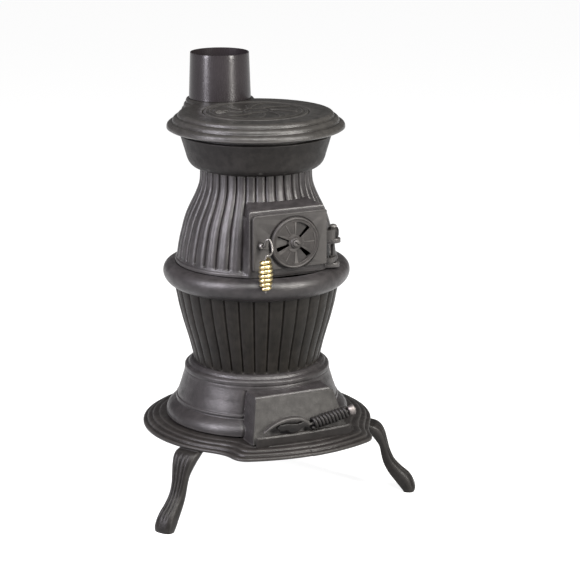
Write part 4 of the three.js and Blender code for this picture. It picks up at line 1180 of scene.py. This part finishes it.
# ------------------------------------------------------------------ grate
def make_grate():
    ring = rounded([(100, 280.0, 0.6), (106, 280.0, 0.6), (106, 288, 0.6), (120.5, 288, 1), (120.5, 296, 1.5), (100, 296, 1.5)], 1, 3, closed=True)
    base = revolve([(float(r), float(z)) for r, z in ring][::1], THETA)
    base = flip_if(base)
    bar = soften(block(-103, 103, -8, 8, 280.05, 287.4), 1.0)
    hole = revolve([(5.3, 270), (5.3, 300)], np.linspace(0, TAU, 32, endpoint=False), loop=False)
    finish_piece(carve("grate_ring_casting", base, [bar], [hole]), iron_grate, "stove_body", ["grate_ring"], sharp=38)
    rows = [(float(r), float(z)) for r, z in rounded([(60, 287.8, 0), (98.5, 287.8, 0.8), (98.5, 296, 1.6), (60, 296, 0)], 1, 3)]
    disc = revolve(rows, THETA, loop=False)
    cuts = [hole]
    for x in (-74, -54, -34, -17, 17, 34, 54, 74):
        h = math.sqrt(88 * 88 - x * x) - 6
        for y0, y1 in ((9, h), (-h + (14 if abs(x) < 20 else 0), -9)):
            o = [(x - 4.5, y0), (x + 4.5, y0), (x + 4.5, y1), (x - 4.5, y1)]
            cuts.append(prism(rounded(o, 4.0, 5, closed=True), 280, 300))
    tang = soften(block(-6, 6, -92, -82, 246, 290), 1.0)
    foot = soften(block(-6, 6, -160, -82.4, 246, 252), 1.2)
    ob = carve("shaker_grate_casting", disc, [tang, foot], cuts)
    finish_piece(ob, iron_grate, "grate", ["shaker_grate"], sharp=38)


make_base_plate()
make_ash_pit()
make_ash_door()
for i, (az, name) in enumerate(zip(LEG_AZ, ("leg_front_left", "leg_front_right", "leg_rear"))):
    make_leg(i, az, name)
make_fire_pot()
make_grate()
make_waist_ring()
make_feed_section()
make_hinge_pin()
make_fire_door()
make_draft_wheel()
make_wheel_screw()
make_latch()
make_smoke_bowl()
make_cook_top()
make_cook_lid()
make_flue_pipe()
make_lifter()
make_fasteners()

# ------------------------------------------------------------------ room
def plain(name, colour, rough=0.9):
    m, nt, bs, co = new_material(name)
    bs.inputs["Base Color"].default_value = (*colour, 1)
    bs.inputs["Roughness"].default_value = rough
    bs.inputs["Specular IOR Level"].default_value = 0.1
    return m


floor_mesh = bpy.data.meshes.new("floor")
floor_mesh.from_pydata([(-60, -60, 0), (60, -60, 0), (60, 60, 0), (-60, 60, 0)], [], [(0, 1, 2, 3)])
floor = bpy.data.objects.new("floor", floor_mesh)
scene.collection.objects.link(floor)
floor_material = plain("pale_floor", (0.20, 0.20, 0.20))
for node in floor_material.node_tree.nodes:
    if node.type == "BSDF_PRINCIPLED":
        node.inputs["Emission Color"].default_value = (1.0, 1.0, 1.0, 1)
        node.inputs["Emission Strength"].default_value = 0.92
floor.data.materials.append(floor_material)

world = bpy.data.worlds.new("studio")
scene.world = world
world.use_nodes = True
wn = world.node_tree
wn.nodes["Background"].inputs[0].default_value = (1.0, 1.0, 1.0, 1)
wn.nodes["Background"].inputs[1].default_value = 0.16

scene.view_settings.view_transform = "Standard"
scene.view_settings.look = "None"
scene.view_settings.exposure = 0.0
scene.view_settings.gamma = 1.0


def softbox(name, az, dist, height, size, power, colour, aim=(0.0, -0.035, 0.45)):
    """An area light at an azimuth measured from the front, seen from above."""
    data = bpy.data.lights.new(name, "AREA")
    data.shape = "RECTANGLE"
    data.size, data.size_y = size
    data.energy = power
    data.color = colour
    ob = bpy.data.objects.new(name, data)
    scene.collection.objects.link(ob)
    ob.location = (dist * math.sin(rad(az)), -0.035 - dist * math.cos(rad(az)), height)
    ob.rotation_mode = "QUATERNION"
    ob.rotation_quaternion = (Vector(aim) - ob.location).to_track_quat("-Z", "Y")
    return ob


CAM_AZ = -25.5
softbox("softbox_left", CAM_AZ - 55, 2.1, 1.55, (0.50, 1.8), 168, (0.96, 0.92, 1.0))
softbox("softbox_right", CAM_AZ + 50, 2.1, 1.60, (0.34, 1.8), 195, (1.0, 0.965, 0.92))
softbox("softbox_top", CAM_AZ + 6, 1.55, 2.4, (0.8, 1.3), 118, (1.0, 0.99, 0.96))

cam_data = bpy.data.cameras.new("camera")
cam_data.sensor_width = 36.0
cam_data.sensor_fit = "HORIZONTAL"
cam_data.lens = 128.52
cam_data.clip_start, cam_data.clip_end = 0.05, 200
cam = bpy.data.objects.new("camera", cam_data)
scene.collection.objects.link(cam)
back = Vector((-0.43051, -0.90259, 0)).normalized()
look = (-back * math.cos(rad(15)) + Vector((0, 0, -math.sin(rad(15))))).normalized()
cam.location = (-1.7282, -3.8199, 1.5459)
cam.rotation_mode = "QUATERNION"
cam.rotation_quaternion = look.to_track_quat("-Z", "Y")
scene.camera = cam
